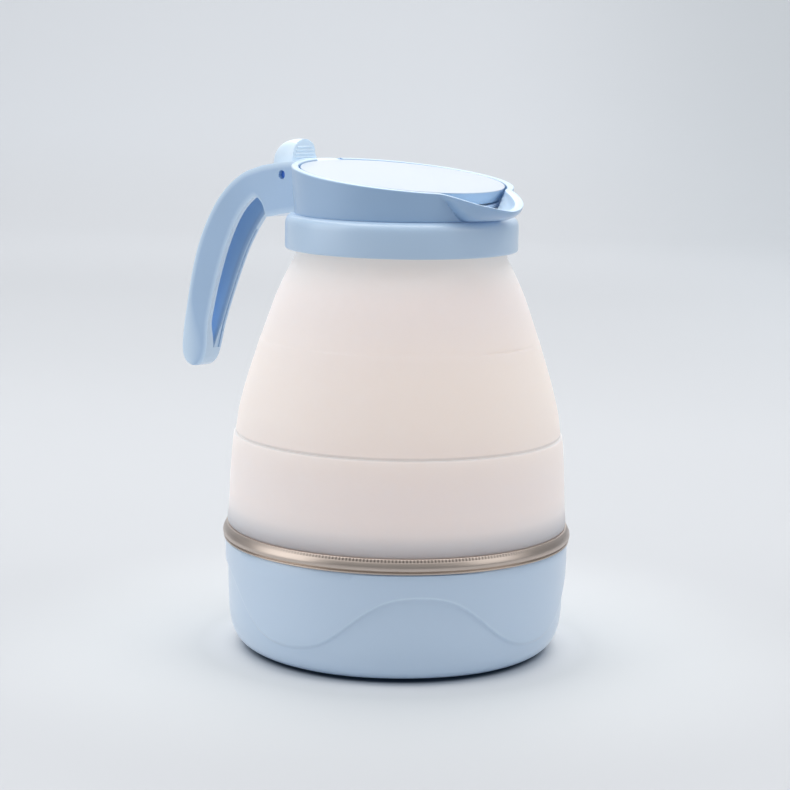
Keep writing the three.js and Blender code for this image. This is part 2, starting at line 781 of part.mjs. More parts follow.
// Handle: half its width at a share of the way down
function handleHalfWidth(down) {
  for (let i = 1; i < handleWidthShares.length; i++) {
    const [low, lowWidth] = handleWidthShares[i - 1];
    const [high, highWidth] = handleWidthShares[i];
    if (down <= high) {
      const share = Math.max(0, (down - low) / (high - low));
      return (handleWidth / 2) * (lowWidth + (highWidth - lowWidth) * share);
    }
  }
  return (handleWidth / 2) * handleWidthShares.at(-1)[1];
}
const handleStations = handleShares.map(([outerAcross, outerDown, innerAcross, innerDown]) => [
  -(ringTopRadius + handleReach * outerAcross),
  handleTopHeight - handleDrop * outerDown,
  -(ringTopRadius + handleReach * innerAcross),
  handleTopHeight - handleDrop * innerDown,
  handleHalfWidth((outerDown + innerDown) / 2),
]);

// The cavity of the channel: inside the skin and the cheeks, and open past the inner edge
function channelStations() {
  const ends = handleStations.filter((station, i) => {
    const [outerAcross, outerDown, , innerDown] = handleShares[i];
    return outerAcross > channelFirstShare && (outerDown + innerDown) / 2 <= channelLastShare;
  });
  return ends.map(([outerX, outerZ, innerX, innerZ, half]) => {
    const length = Math.hypot(innerX - outerX, innerZ - outerZ);
    const [stepX, stepZ] = [(innerX - outerX) / length, (innerZ - outerZ) / length];
    return [
      outerX + stepX * handleSkin,
      outerZ + stepZ * handleSkin,
      innerX + stepX * shortOverrun,
      innerZ + stepZ * shortOverrun,
      half - cheekWall,
    ];
  });
}

// What the handle has to keep clear of: the collar and the ring, with a gap
function topEnvelope() {
  const clearance = shoulder
    .filter(([radius]) => radius > ringFootRadius)
    .map(([radius, height]) => [radius + handleGap, height + handleGap]);
  const rise = handleTopHeight + overrun - ringFoot;
  const flare = (ringFlare * rise) / ringHeight;
  return turned([
    [0, collarFoot],
    [collarRadius + handleGap, collarFoot],
    ...clearance,
    [ringFootRadius + handleGap, collarTop + handleGap],
    [ringFootRadius + flare + handleGap, ringFoot + rise],
    [0, ringFoot + rise],
  ]);
}

// A round bar on the lid's hinge
function hingeBar(radius, length) {
  return crossBar(radius, length, hingeX, hingeHeight, hiddenSegments);
}

// Handle: a strut with the channel, the slot for the lid's arm, and the pin's hole taken out
function handle() {
  const neckStations = handleStations.filter((station, i) => handleShares[i][0] < channelFirstShare);
  const neckEnd = handleStations[neckStations.length];
  const underside = Math.max(...neckStations.map(([, , , innerZ]) => innerZ));
  const webTop = Math.min(neckStations[1][3], underside) + neckWebThickness;
  const frontWall = -(ringTopRadius + handleGap + handleSkin);
  const [, , archX, archZ] = neckEnd;
  const slotEnd = -(ringTopRadius + slotReach);
  const slot = sidePlate(
    [
      [frontWall, webTop],
      [frontWall, sillHeight],
      [0, sillHeight],
      [0, handleTopHeight + overrun],
      [slotEnd, handleTopHeight + overrun],
      [slotEnd, archZ],
      [archX, archZ - neckWebThickness],
      [neckStations[3][2] - neckWebThickness, webTop],
    ],
    slotHalfWidth * 2,
  );
  return strut(handleStations)
    .subtract(strut(channelStations()))
    .subtract(slot)
    .subtract(hingeBar(hingePinRadius + pinGap, handleWidth + overrun))
    .subtract(topEnvelope());
}
add("handle", handle(), "bluePlastic");
const hingePinLength = handleWidth - 2 * hingePinRecess;
add("hinge_pin", hingeBar(hingePinRadius, hingePinLength), "bluePlastic");

// Lid pieces are drawn with the plane level, then tilted and raised on to it
function onLidPlane(shape) {
  return shape.rotate([0, THREE.MathUtils.radToDeg(lidFall), 0]).translate([0, 0, lidPlaneHeight]);
}

// Thumb tab: round from the front and falling away behind, with ribs across its front face
function thumbTab() {
  const front = hingeX + tabOffset;
  const back = front - tabLength;
  const tabFoot = hingeHeight + knuckleRadius / 2;
  const rise = tabRise - knuckleRadius / 2;
  const sideOutline = [[front, tabFoot]];
  const steps = 7;
  for (let i = 0; i <= steps; i++) {
    const turn = (i / steps) * (Math.PI / 2);
    const across = front - tabLength * (1 - Math.cos(turn)) ** tabLean;
    sideOutline.push([across, tabFoot + rise * Math.cos(turn) ** tabFullness]);
  }
  sideOutline.push([back, tabFoot]);
  const frontOutline = [[-armHalfWidth, tabFoot]];
  for (let i = 0; i <= 2 * steps; i++) {
    const turn = Math.PI - (i / (2 * steps)) * Math.PI;
    const height = tabFoot + rise * Math.sin(turn) ** tabRoundness;
    frontOutline.push([armHalfWidth * Math.cos(turn), height]);
  }
  frontOutline.push([armHalfWidth, tabFoot]);
  const dome = sidePlate(sideOutline, handleWidth);
  let tab = dome.intersect(frontPlate(frontOutline, back - overrun, tabLength + 2 * overrun));
  for (let i = 0; i < tabRibs; i++) {
    const height = hingeHeight + firstRibRise + i * ribPitch;
    const share = (height - tabFoot) / rise;
    const half = armHalfWidth * ribShare * Math.sqrt(1 - share * share);
    const rib = block(
      [front - ribProud, -half, height - ribPitch / 4],
      [front + ribProud, half, height + ribPitch / 4],
    );
    tab = tab.add(rib);
  }
  return tab;
}

// Lid cover: a shallow cap, an arm through the ring's notch, the knuckle round the pin, and the tab
function lidCover() {
  const cap = onLidPlane(
    turned([
      [0, lidCrown],
      [lidRadius / 2, lidCrown * crownShare],
      [lidRadius - lidEdge, 0],
      [lidRadius, -lidEdge],
      [lidRadius - lidTaper, -lidThickness],
      [lidRadius - lidTaper - lidSkin / 2, -lidThickness],
      [lidRadius - lidSkin, -lidSkin],
      [0, -lidSkin],
    ]),
  );
  const armStart = lidRadius - lidSkin;
  const topAt = (reach) => Math.min(lidPlane(-reach), handleTopHeight - armPlay) - armPlay;
  const arm = sidePlate(
    [
      [-armStart, lidPlane(-armStart) - armPlay],
      [-ringTopRadius, topAt(ringTopRadius)],
      [hingeX, hingeHeight + knuckleRadius],
      [hingeX, hingeHeight],
      [-ringTopRadius, topAt(ringTopRadius) - armThickness + armPlay],
      [-armStart, lidPlane(-armStart) - armThickness],
    ],
    armHalfWidth * 2,
  );
  const knuckle = hingeBar(knuckleRadius, armHalfWidth * 2);
  const bore = hingeBar(hingePinRadius + pinGap, handleWidth);
  return cap.add(arm).add(knuckle).add(thumbTab()).subtract(bore);
}
add("lid_cover", lidCover(), "bluePlastic");

// Lid liner and gasket: the clean inner face of the lid, and the seal round it
const linerRadius = lidRadius - lidSkin - seatGap - pinGap;
const linerTop = -lidSkin - seatGap;
const linerStep = linerTop - linerDepth;
const plugRadius = linerRadius - gasketWidth / 2;
add(
  "lid_liner",
  onLidPlane(
    turned([
      [0, linerTop],
      [linerRadius, linerTop],
      [linerRadius, linerStep],
      [plugRadius, linerStep],
      [plugRadius, linerStep - plugDepth],
      [0, linerStep - plugDepth],
    ]),
  ),
  "whiteLiner",
);
const gasketInner = plugRadius + seatGap;
const gasketTop = linerStep - seatGap;
add(
  "lid_gasket",
  onLidPlane(
    turned([
      [gasketInner, gasketTop],
      [gasketInner, gasketTop - gasketThickness],
      [gasketInner + gasketWidth, gasketTop - gasketThickness],
      [gasketInner + gasketWidth, gasketTop],
    ]),
  ),
  "silicone",
);

// Heat plate, under the pan's floor
add("heat_plate", turned([
  [0, heatPlateBottom],
  [heatPlateRadius, heatPlateBottom],
  [heatPlateRadius, heatPlateTop],
  [0, heatPlateTop],
], hiddenSegments), "aluminium");

// Heating element: an open ring whose two ends turn down
function elementPath() {
  const points = [];
  const steps = 22;
  const first = -Math.PI + elementOpening / 2;
  const sweep = Math.PI * 2 - elementOpening;
  const end = (turn, drop) => {
    const [x, y] = [elementRadius * Math.cos(turn), elementRadius * Math.sin(turn)];
    return [x, y, elementHeight - drop];
  };
  points.push(end(first, elementTail));
  for (let i = 0; i <= steps; i++) {
    points.push(end(first + (sweep * i) / steps, 0));
  }
  points.push(end(first + sweep, elementTail));
  return points;
}
const elementPoints = elementPath();
add("heating_element", wire(elementPoints, elementTube, 40, tubeSides), "aluminium");

// Thermostat in the middle, pressed up against the heat plate
const thermostatTop = heatPlateBottom - seatGap;
const thermostatFoot = thermostatTop - thermostatHeight;
add("thermostat", turned([
  [0, thermostatFoot],
  [thermostatRadius, thermostatFoot],
  [thermostatRadius, thermostatTop - thermostatFlangeThickness],
  [thermostatFlange, thermostatTop - thermostatFlangeThickness],
  [thermostatFlange, thermostatTop],
  [0, thermostatTop],
], hiddenSegments), "darkPlastic");
const fuseHeight = heatPlateBottom - seatGap - fuseRadius;
add("thermal_fuse", crossBar(fuseRadius, fuseLength, freeRadius, fuseHeight), "brass");

// Power inlet: a block with a socket, three pins through its back wall
const pinPlaces = {
  live: [-pinSpread, inletHeight + pinRise],
  neutral: [pinSpread, inletHeight + pinRise],
  earth: [0, inletHeight - pinDrop],
};
const socketBack = inletBack - inletWall;
let inlet = block(
  [inletFace, -inletHalfWidth, inletHeight - inletHalfHeight],
  [inletBack, inletHalfWidth, inletHeight + inletHalfHeight],
).subtract(
  block(
    [inletFace - overrun, -inletHalfWidth + inletWall, inletHeight - inletHalfHeight + inletWall],
    [socketBack, inletHalfWidth - inletWall, inletHeight + inletHalfHeight - inletWall],
  ),
);
for (const [y, z] of Object.values(pinPlaces)) {
  inlet = inlet.subtract(alongBar(pinRadius + pinGap, socketBack - overrun, inletBack + overrun, y, z));
}
add("power_inlet", inlet, "darkPlastic");
for (const [name, [y, z]] of Object.entries(pinPlaces)) {
  add("inlet_pin_" + name, alongBar(pinRadius, socketBack - pinProud, inletBack + pinTail, y, z), "brass");
}

// Leads: each starts just behind a pin and ends just short of what it feeds
const pinEnd = inletBack + pinTail + seatGap;
const elementFirst = elementPoints[0];
const elementLast = elementPoints.at(-1);
const tailEnd = elementFirst[2] - seatGap - leadRadius;
const leadLow = (bossFoot + tailEnd) / 2;
add("lead_neutral", wire([
  [pinEnd, pinPlaces.neutral[0], pinPlaces.neutral[1]],
  [pinEnd + pinTail, pinPlaces.neutral[0], pinPlaces.neutral[1]],
  [elementLast[0] - leadRadius, elementLast[1] - elementTube, tailEnd],
  [elementLast[0], elementLast[1], tailEnd],
], leadRadius, 10), "paleLead");
add("lead_live", wire([
  [pinEnd, pinPlaces.live[0], pinPlaces.live[1]],
  [pinEnd + pinTail, pinPlaces.live[0], pinPlaces.live[1]],
  [-thermostatFlange - elementTube, pinPlaces.live[0], leadLow],
  [-thermostatRadius / 2, pinPlaces.live[0], thermostatFoot - seatGap - leadRadius],
], leadRadius, 12), "redLead");
add("lead_link", wire([
  [thermostatRadius / 2, -pinSpread, thermostatFoot - seatGap - leadRadius],
  [0, -thermostatFlange, leadLow],
  [elementFirst[0] + elementTube, elementFirst[1], leadLow],
  [elementFirst[0], elementFirst[1], tailEnd],
], leadRadius, 12), "redLead");
add("lead_earth", wire([
  [pinEnd, pinPlaces.earth[0], pinPlaces.earth[1]],
  [pinEnd + pinTail, pinPlaces.earth[0], pinPlaces.earth[1]],
  [pinEnd + 2 * pinTail, thermostatFlange + elementTube, leadLow],
  [-thermostatRadius, freeRadius, heatPlateBottom - 2 * elementTube],
  [0, freeRadius, heatPlateBottom - seatGap - leadRadius],
], leadRadius, 14), "earthLead");

export default kettle;
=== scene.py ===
# %% [markdown]
# # A collapsible kettle on a pale table
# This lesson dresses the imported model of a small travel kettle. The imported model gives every
# solid its place. The pieces that show are modelled again here, finer, in the same places,
# and each one rides on the body of the model that it belongs to.

import json
import math

import bmesh
import bpy
from bmesh.types import BMEdge, BMFace, BMVert
from mathutils import Matrix, Vector

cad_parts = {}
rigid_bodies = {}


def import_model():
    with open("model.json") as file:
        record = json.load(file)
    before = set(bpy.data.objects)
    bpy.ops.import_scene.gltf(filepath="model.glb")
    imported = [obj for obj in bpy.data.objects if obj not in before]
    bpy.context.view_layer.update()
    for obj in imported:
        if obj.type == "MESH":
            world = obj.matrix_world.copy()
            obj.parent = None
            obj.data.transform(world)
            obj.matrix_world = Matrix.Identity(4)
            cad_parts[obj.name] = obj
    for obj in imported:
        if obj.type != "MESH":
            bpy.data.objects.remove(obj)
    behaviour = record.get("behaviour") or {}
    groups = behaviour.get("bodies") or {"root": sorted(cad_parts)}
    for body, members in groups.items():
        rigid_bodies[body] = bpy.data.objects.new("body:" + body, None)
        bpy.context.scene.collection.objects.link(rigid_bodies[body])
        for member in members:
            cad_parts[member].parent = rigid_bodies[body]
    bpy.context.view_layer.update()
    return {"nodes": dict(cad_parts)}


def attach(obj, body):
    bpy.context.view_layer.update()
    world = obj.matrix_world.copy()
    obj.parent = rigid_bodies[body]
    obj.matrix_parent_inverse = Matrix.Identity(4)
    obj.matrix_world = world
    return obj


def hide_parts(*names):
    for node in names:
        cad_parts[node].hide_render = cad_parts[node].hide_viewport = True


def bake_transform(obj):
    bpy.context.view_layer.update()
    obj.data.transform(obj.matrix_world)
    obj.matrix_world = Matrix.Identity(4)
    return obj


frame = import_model()
MM = 0.001
scene_objects = bpy.context.scene.collection.objects

# %% [markdown]
# ## The camera
# The photograph was taken from a little above the lid, with a long lens. The camera was fitted
# to the round edges of the kettle, so it is written as real distances: how far it stands from
# the kettle's axis, how high, how much it looks down, and how much the picture leans.

# %% Camera
picture_side = 790
focal_pixels = 2137.0
camera_distance = 725.1 * MM
camera_height = 202.4 * MM
camera_aside = -1.3 * MM
looks_down = 0.158
picture_lean = 0.018
spout_turn = math.radians(43)

across = Vector((math.cos(spout_turn), math.sin(spout_turn), 0))
away = Vector((-math.sin(spout_turn), math.cos(spout_turn), 0))
forward = away * math.cos(looks_down) - Vector((0, 0, math.sin(looks_down)))
upward = away * math.sin(looks_down) + Vector((0, 0, math.cos(looks_down)))
right = across * math.cos(picture_lean) + upward * math.sin(picture_lean)
above = upward * math.cos(picture_lean) - across * math.sin(picture_lean)
place = across * camera_aside - away * camera_distance + Vector((0, 0, camera_height))

camera_data = bpy.data.cameras.new("camera")
camera_data.sensor_width = 36
camera_data.lens = 36 * focal_pixels / picture_side
camera = bpy.data.objects.new("camera", camera_data)
camera.matrix_world = Matrix.Translation(place) @ Matrix((right, above, -forward)).transposed().to_4x4()
scene_objects.link(camera)
bpy.context.scene.camera = camera
print("lens", round(camera_data.lens, 1), "mm at", [round(v, 3) for v in place])

# %% [markdown]
# ## Shader maths as plain arithmetic
# A material is a graph of nodes, and most of that graph is arithmetic. One small class holds a
# socket and adds a Math node whenever it is used in an expression. Another holds the material,
# and adds any other kind of node through one method.

# %% Signals and finishes


class Signal:
    """A number or colour that changes over a surface."""

    def __init__(self, finish, socket):
        self.finish = finish
        self.socket = socket

    def _math(self, operation, *terms):
        return self.finish.node("ShaderNodeMath", {"operation": operation}, dict(enumerate(terms)))

    def __add__(self, other):
        return self._math("ADD", self, other)

    def __sub__(self, other):
        return self._math("SUBTRACT", self, other)

    def __mul__(self, other):
        return self._math("MULTIPLY", self, other)

    def __pow__(self, other):
        return self._math("POWER", self, other)

    def __rsub__(self, other):
        return self._math("SUBTRACT", other, self)

    __radd__ = __add__
    __rmul__ = __mul__


class Finish:
    """A material on the principled shader, with numbers that are the same all over set at once."""

    def __init__(self, name, slot, **constants):
        self.slot = slot
        self.material = bpy.data.materials.new(name)
        self.material.use_nodes = True
        self.tree = self.material.node_tree
        self.shader = self.tree.nodes["Principled BSDF"]
        for key, value in constants.items():
            self.shader.inputs[key.replace("_", " ")].default_value = value
        self.place = self.node("ShaderNodeTexCoord", output="Object")

    def node(self, kind, settings=None, inputs=None, output=0):
        made = self.tree.nodes.new(kind)
        for key, value in (settings or {}).items():
            setattr(made, key, value)
        for key, value in (inputs or {}).items():
            if isinstance(value, Signal):
                self.tree.links.new(value.socket, made.inputs[key])
            else:
                made.inputs[key].default_value = value
        return Signal(self, made.outputs[output])

    def feed(self, **links):
        for key, signal in links.items():
            self.tree.links.new(signal.socket, self.shader.inputs[key.replace("_", " ")])
        return self

    def noise(self, scale, detail, stretch=(1, 1, 1)):
        """Cloudy values from 0 to 1. The scale is in patches per metre."""
        place = self.node("ShaderNodeMapping", {}, {"Vector": self.place, "Scale": stretch})
        return self.node("ShaderNodeTexNoise", {}, {"Vector": place, "Scale": scale, "Detail": detail})

    def blend(self, share, first, second):
        settings = {"data_type": "RGBA"}
        return self.node("ShaderNodeMix", settings, {0: share, 6: first, 7: second}, output=2)

    def coats(self, shade, *coats):
        """Lays coats over a shade, one after the other. Each is a share and a colour."""
        for share, colour in coats:
            shade = self.blend(share, shade, colour)
        return shade

    def step(self, signal, low, high):
        """0 below the low value, 1 above the high one, and smooth between them."""
        settings = {"interpolation_type": "SMOOTHSTEP"}
        return self.node("ShaderNodeMapRange", settings, {0: signal, 1: low, 2: high})

    def axis(self, letter):
        return self.node("ShaderNodeSeparateXYZ", {}, {0: self.place}, output=letter)

    def bumpy(self, height, distance):
        inputs = {"Height": height, "Distance": distance, "Strength": 1.0}
        return self.feed(Normal=self.node("ShaderNodeBump", {}, inputs))


def tone(red, green, blue):
    """A screen colour from 0 to 255 as the linear colour that a shader works with."""
    parts = [v / 255 for v in (red, green, blue)]
    return [p / 12.92 if p <= 0.04045 else ((p + 0.055) / 1.055) ** 2.4 for p in parts]


def paint(red, green, blue):
    """A screen colour as the opaque colour that a shader's socket holds."""
    return (*tone(red, green, blue), 1)


def shades(colour, darker, lighter):
    """A deeper and a paler shade of a colour."""
    return [(*(min(1, v * factor) for v in colour), 1) for factor in (darker, lighter)]


print("a mid grey is", [round(v, 3) for v in tone(128, 128, 128)])

# %% [markdown]
# ## Finishes
# The blue parts are one satin plastic. Its mould was spark-eroded, which leaves a very fine
# grain, and large mouldings show faint clouds where the melt met. The plastic also carries
# painted light: a faint painted glow, paler tones low down and on edges, rims and tops, and a
# brighter, bluer painted tone in hollows. The silicone is milky: it lets some light in, so it
# has subsurface scattering. It has a painted glow as well, and painted shade: it is greyer
# where a solid part lies close behind it, the steel pan at the bottom and the sleeve of the
# neck at the top, darker still just above the steel band, and darker along a fold.

# %% Plastic
plastic_grain = 0.02 * MM
# Painted light: the plastic gets a faint painted glow, and a paler tone low down, where the table's light
# falls.
painted_glow_strength = 0.1
painted_low_light_heights = (60 * MM, 40 * MM)
painted_light_glow = (0.75, 0.82, 0.9, 1)
painted_hollow_glow = paint(150, 200, 255)


def moulded(name, slot, colour, roughness, depth=0.1, low=None, glow=None, painted_light=None, hollow=None):
    """Satin moulded plastic, with flow clouds and a fine grain.

    It can carry painted light: paler low down, a paler painted tone and a painted glow on
    vertices marked above 0, and a brighter, bluer painted tone and glow on vertices marked below 0.
    """
    finish = Finish(
        name, slot, Subsurface_Weight=depth, Subsurface_Radius=(0.6, 0.8, 1.0),
        Subsurface_Scale=2.5 * MM, Coat_Weight=1.0, Coat_Roughness=0.28,
    )
    clouds = finish.noise(14, 2)
    specks = finish.noise(900, 2)
    shade = finish.blend(finish.step(clouds, 0.35, 0.65), *shades(colour, 0.94, 1.05))
    if low:
        shade = finish.blend(finish.step(finish.axis("Z"), *painted_low_light_heights), shade, low)
    finish.feed(Base_Color=shade, Roughness=clouds * 0.08 + specks * 0.06 + (roughness - 0.07))
    if painted_light:
        share = finish.node("ShaderNodeAttribute", {"attribute_name": "painted_light"}, output="Fac")
        hollow_share = 0 - share
        light = finish.blend(share, glow, painted_light_glow)
        finish.feed(
            Base_Color=finish.coats(shade, (share, painted_light), (hollow_share, hollow)),
            Emission_Color=finish.blend(hollow_share, light, painted_hollow_glow),
        )
        finish.shader.inputs["Emission Strength"].default_value = painted_glow_strength
    return finish.bumpy(finish.noise(2600, 2), plastic_grain)


blue = tone(151, 178, 206)
# These tones are painted light: paler low down, a blue painted glow, and a brighter tone in hollows. The
# pale tone in each call is painted light on marked vertices.
painted_light_tones = {"low": paint(191, 207, 223), "glow": paint(108, 160, 215), "hollow": paint(176, 212, 247)}
blue_plastic = moulded("blue_plastic", "blue_plastic", blue, 0.45, painted_light=paint(207, 226, 241), **painted_light_tones)
# The lid's copy of the plastic has its own pale tone for the cap's top: painted light.
lid_plastic_painted_light = moulded("lid_plastic_painted_light", "blue_plastic", blue, 0.45, painted_light=paint(168, 178, 191), **painted_light_tones)
# The pin's ends get a deeper blue and a blue glow: painted shade and painted light of the recess that they
# sit in.
pin_shade_plastic = moulded("pin_shade_blue_plastic", "blue_plastic", tone(48, 98, 180), 0.5)
pin_shade_plastic.shader.inputs["Emission Color"].default_value = paint(40, 110, 230)
pin_shade_plastic.shader.inputs["Emission Strength"].default_value = 0.15
white_plastic = moulded("white_plastic", "white_liner", tone(226, 232, 238), 0.45)
dark_plastic = moulded("dark_plastic", "dark_plastic", tone(46, 48, 52), 0.5, depth=0)
print("plastics:", blue_plastic.material.name, white_plastic.material.name, dark_plastic.material.name)

# %% Silicone
silicone_grain = 0.03 * MM


def milky_silicone(name, slot):
    """Soft, milky silicone with painted light and shade: it glows, and is painted greyer where something
    solid lies behind it, and darker along a fold.
    """
    finish = Finish(
        name, slot, Subsurface_Weight=1.0, Subsurface_Radius=(1.0, 0.8, 0.7),
        Subsurface_Scale=25 * MM, Specular_IOR_Level=0.15, Emission_Strength=0.3,
    )
    height = finish.axis("Z")
    clouds = finish.noise(9, 2)
    dust = finish.noise(300, 4)
    middle = finish.step(height, 60 * MM, 85 * MM) * (1 - finish.step(height, 95 * MM, 125 * MM))
    # Painted shade: greyer over the lower part, where the pan lies behind, darker just above the steel band,
    # a greyer glow under the collar, and a dark line along the lower fold.
    pan_shade = 1 - finish.step(height + clouds * (4 * MM), 43 * MM, 58 * MM)
    foot_shade = finish.step(height, 51 * MM, 43 * MM)
    neck_shade = finish.step(height, 122 * MM, 138 * MM)
    crease = finish.step(height, 74.0 * MM, 74.4 * MM) * finish.step(height, 75.6 * MM, 74.9 * MM)
    body = finish.coats(
        finish.blend(middle * clouds, paint(208, 208, 207), paint(214, 210, 202)),
        (pan_shade * 0.8, paint(192, 194, 199)),
        (foot_shade * 0.75, paint(160, 160, 166)),
        (crease * 0.3, paint(150, 150, 154)),
    )
    # The glow is painted light, warmest in the middle band.
    glow = finish.coats(
        finish.blend(middle * clouds, paint(238, 214, 206), paint(248, 220, 194)),
        (pan_shade, paint(182, 178, 179)),
        (foot_shade, paint(126, 130, 134)),
        (neck_shade, paint(222, 222, 218)),
        (crease * 0.5, paint(160, 165, 172)),
    )
    finish.feed(Base_Color=body, Roughness=clouds * 0.12 + dust * 0.1 + 0.42, Emission_Color=glow)
    return finish.bumpy(finish.noise(1400, 2) + dust * 0.6, silicone_grain)


silicone = milky_silicone("silicone", "silicone")
print("silicone:", len(silicone.tree.nodes), "nodes")

# %% [markdown]
# Steel that was turned on a lathe has fine rings round its axis, and a drawn pan has the same.
# Rings need no texture image: noise that is squeezed along the axis makes them.

# %% Metals
ring_depth = 0.02 * MM
knurl_low, knurl_high, knurl_edge = 42.0 * MM, 42.7 * MM, 0.1 * MM
knurl_count = 320
knurl_middle = math.radians(-45)
knurl_shade_end, knurl_shade_full = math.radians(48), math.radians(18)


def turned_metal(name, slot, colour, roughness, knurled=False):
    """Bright metal with fine turning rings and a few handling marks, and a knurled line if asked, with
    painted shade over one arc of the line.
    """
    finish = Finish(name, slot, Metallic=1.0)
    lines = finish.noise(500, 3, stretch=(0.04, 0.04, 6))
    marks = finish.noise(60, 5)
    shade = finish.blend(lines, *shades(colour, 0.82, 1.08))
    relief = lines
    if knurled:
        x, y, height = (finish.axis(letter) for letter in "XYZ")
        turn = finish.node("ShaderNodeMath", {"operation": "ARCTAN2"}, {0: y, 1: x})
        wave = finish.node("ShaderNodeMath", {"operation": "SINE"}, {0: turn * knurl_count})
        off = finish.node("ShaderNodeMath", {"operation": "ABSOLUTE"}, {0: turn - knurl_middle})
        foot = finish.step(height, knurl_low - knurl_edge, knurl_low)
        band = foot * finish.step(height, knurl_high + knurl_edge, knurl_high)
        # The knurl's dark line is painted shade, laid only over an arc round knurl_middle; its bump runs all
        # round.
        seen = finish.step(off, knurl_shade_end, knurl_shade_full)
        shade = finish.blend(band * seen * (wave * 0.25 + 0.6), shade, paint(70, 62, 60))
        relief = lines + band * wave
    finish.feed(Base_Color=shade, Roughness=lines * 0.14 + marks * 0.1 + (roughness - 0.12))
    return finish.bumpy(relief, ring_depth)


steel = turned_metal("steel", "steel", tone(203, 189, 178), 0.34, knurled=True)
bare_steel = turned_metal("bare_steel", "steel", tone(194, 197, 201), 0.32)
aluminium = turned_metal("aluminium", "aluminium", tone(184, 187, 192), 0.45)
brass = turned_metal("brass", "brass", tone(206, 172, 104), 0.32)
print("metals:", steel.material.name, aluminium.material.name, brass.material.name)

# %% [markdown]
# The pad, the lid's seal and the covers of the leads are matt. Fine dust lies on such surfaces,
# so their tone changes a little in small patches.

# %% Rubber and lead insulation
matt_grain = 0.04 * MM


def matt(name, slot, colour, roughness=0.75):
    """A matt, slightly dusty surface."""
    finish = Finish(name, slot)
    dust = finish.noise(220, 4)
    pale = [min(1, v * 1.15 + 0.01) for v in colour]
    shade = finish.blend(dust, (*colour, 1), (*pale, 1))
    finish.feed(Base_Color=shade, Roughness=dust * 0.15 + (roughness - 0.08))
    return finish.bumpy(finish.noise(1600, 2), matt_grain)


rubber = matt("rubber", "rubber", tone(140, 144, 148))
red_lead = matt("red_lead", "red_lead", tone(178, 58, 48), 0.55)
pale_lead = matt("pale_lead", "pale_lead", tone(216, 216, 210), 0.55)
earth_lead = matt("earth_lead", "earth_lead", tone(111, 154, 58), 0.55)
# The seal's pale blue is a painted tint of the blue shade inside the spout, where it shows.
soft_seal = matt("seal_silicone", "silicone", tone(176, 198, 224), 0.5)
print("matt finishes: 5")

# %% [markdown]
# ## Profiles and turned pieces
# Much of the kettle is round, so many pieces start as a profile: a line of places in the plane
# of the axis, each a radius and a height in millimetres. A smooth line runs through the places
# where the real outline is soft, and corners are eased where it is crisp. Spin then turns the
# profile round the axis.

# %% Helpers for round pieces
fine_steps = 288


def smooth_line(places, parts=6):
    """Places along a smooth curve that runs through all the given ones."""
    known = [Vector(p) for p in places]
    known = [known[0] * 2 - known[1], *known, known[-1] * 2 - known[-2]]
    line = []
    for a, b, c, d in zip(known, known[1:], known[2:], known[3:]):
        for i in range(parts):
            t = i / parts
            curve = b * 2 + (c - a) * t + (a * 2 - b * 5 + c * 4 - d) * t**2
            line.append((curve + (b * 3 - a - c * 3 + d) * t**3) / 2)
    line.append(known[-2])
    return [tuple(p) for p in line]


def eased(corners, parts=4):
    """A closed profile whose corners are rounded. Each corner is (radius, height, ease)."""
    line = []
    for i, (radius, height, ease) in enumerate(corners):
        corner = Vector((radius, height))
        if not ease:
            line.append(tuple(corner))
            continue
        before = Vector(corners[i - 1][:2]) - corner
        after = Vector(corners[(i + 1) % len(corners)][:2]) - corner
        start = corner + before.normalized() * min(ease, before.length * 0.49)
        end = corner + after.normalized() * min(ease, after.length * 0.49)
        for k in range(parts + 1):
            t = k / parts
            line.append(tuple(start * (1 - t) ** 2 + corner * 2 * t * (1 - t) + end * t**2))
    return line


def face_outwards(bm):
    """Turns all faces of a bmesh outwards."""
    bmesh.ops.recalc_face_normals(bm, faces=bm.faces[:])


def rotate(bm, angle, axis):
    """Turns a whole bmesh round an axis through the origin."""
    bmesh.ops.rotate(bm, cent=(0, 0, 0), matrix=Matrix.Rotation(angle, 3, axis), verts=bm.verts[:])


def spun(profile, steps=144):
    """A profile turned round the axis. It is closed into a ring unless it starts on the axis."""
    bm = bmesh.new()
    verts = [bm.verts.new((radius * MM, 0, height * MM)) for radius, height in profile]
    for a, b in zip(verts, verts[1:]):
        bm.edges.new((a, b))
    if profile[0][0] > 0:
        bm.edges.new((verts[-1], verts[0]))
    geometry = bm.verts[:] + bm.edges[:]
    bmesh.ops.spin(
        bm, geom=geometry, cent=(0, 0, 0), axis=(0, 0, 1), dvec=(0, 0, 0),
        angle=math.tau, steps=steps, use_merge=True, use_duplicate=False,
    )
    bmesh.ops.remove_doubles(bm, verts=bm.verts[:], dist=0.001 * MM)
    face_outwards(bm)
    return bm


def shade_smooth(mesh, crease=40):
    """Shades a mesh smooth, with sharp edges past the crease angle."""
    mesh.polygons.foreach_set("use_smooth", [True] * len(mesh.polygons))
    mesh.set_sharp_from_angle(angle=math.radians(crease))


def piece(bm, name, finish, body=None, replaces=(), crease=40):
    """A finished piece, smooth and in its finish, that rides on its body."""
    mesh = bpy.data.meshes.new(name)
    bm.to_mesh(mesh)
    bm.free()
    shade_smooth(mesh, crease)
    mesh.materials.append(finish.material)
    made = bpy.data.objects.new(name, mesh)
    scene_objects.link(made)
    if body:
        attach(made, body)
    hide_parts(*replaces)
    print(name, len(mesh.polygons), "faces")
    return made


def mark_painted_light(bm, share_at):
    """Marks each vertex for its finish: up to 1 where it is thin or pale, below 0 in a hollow."""
    layer = bm.verts.layers.float.new("painted_light")
    for vert in bm.verts:
        vert[layer] = share_at(vert)


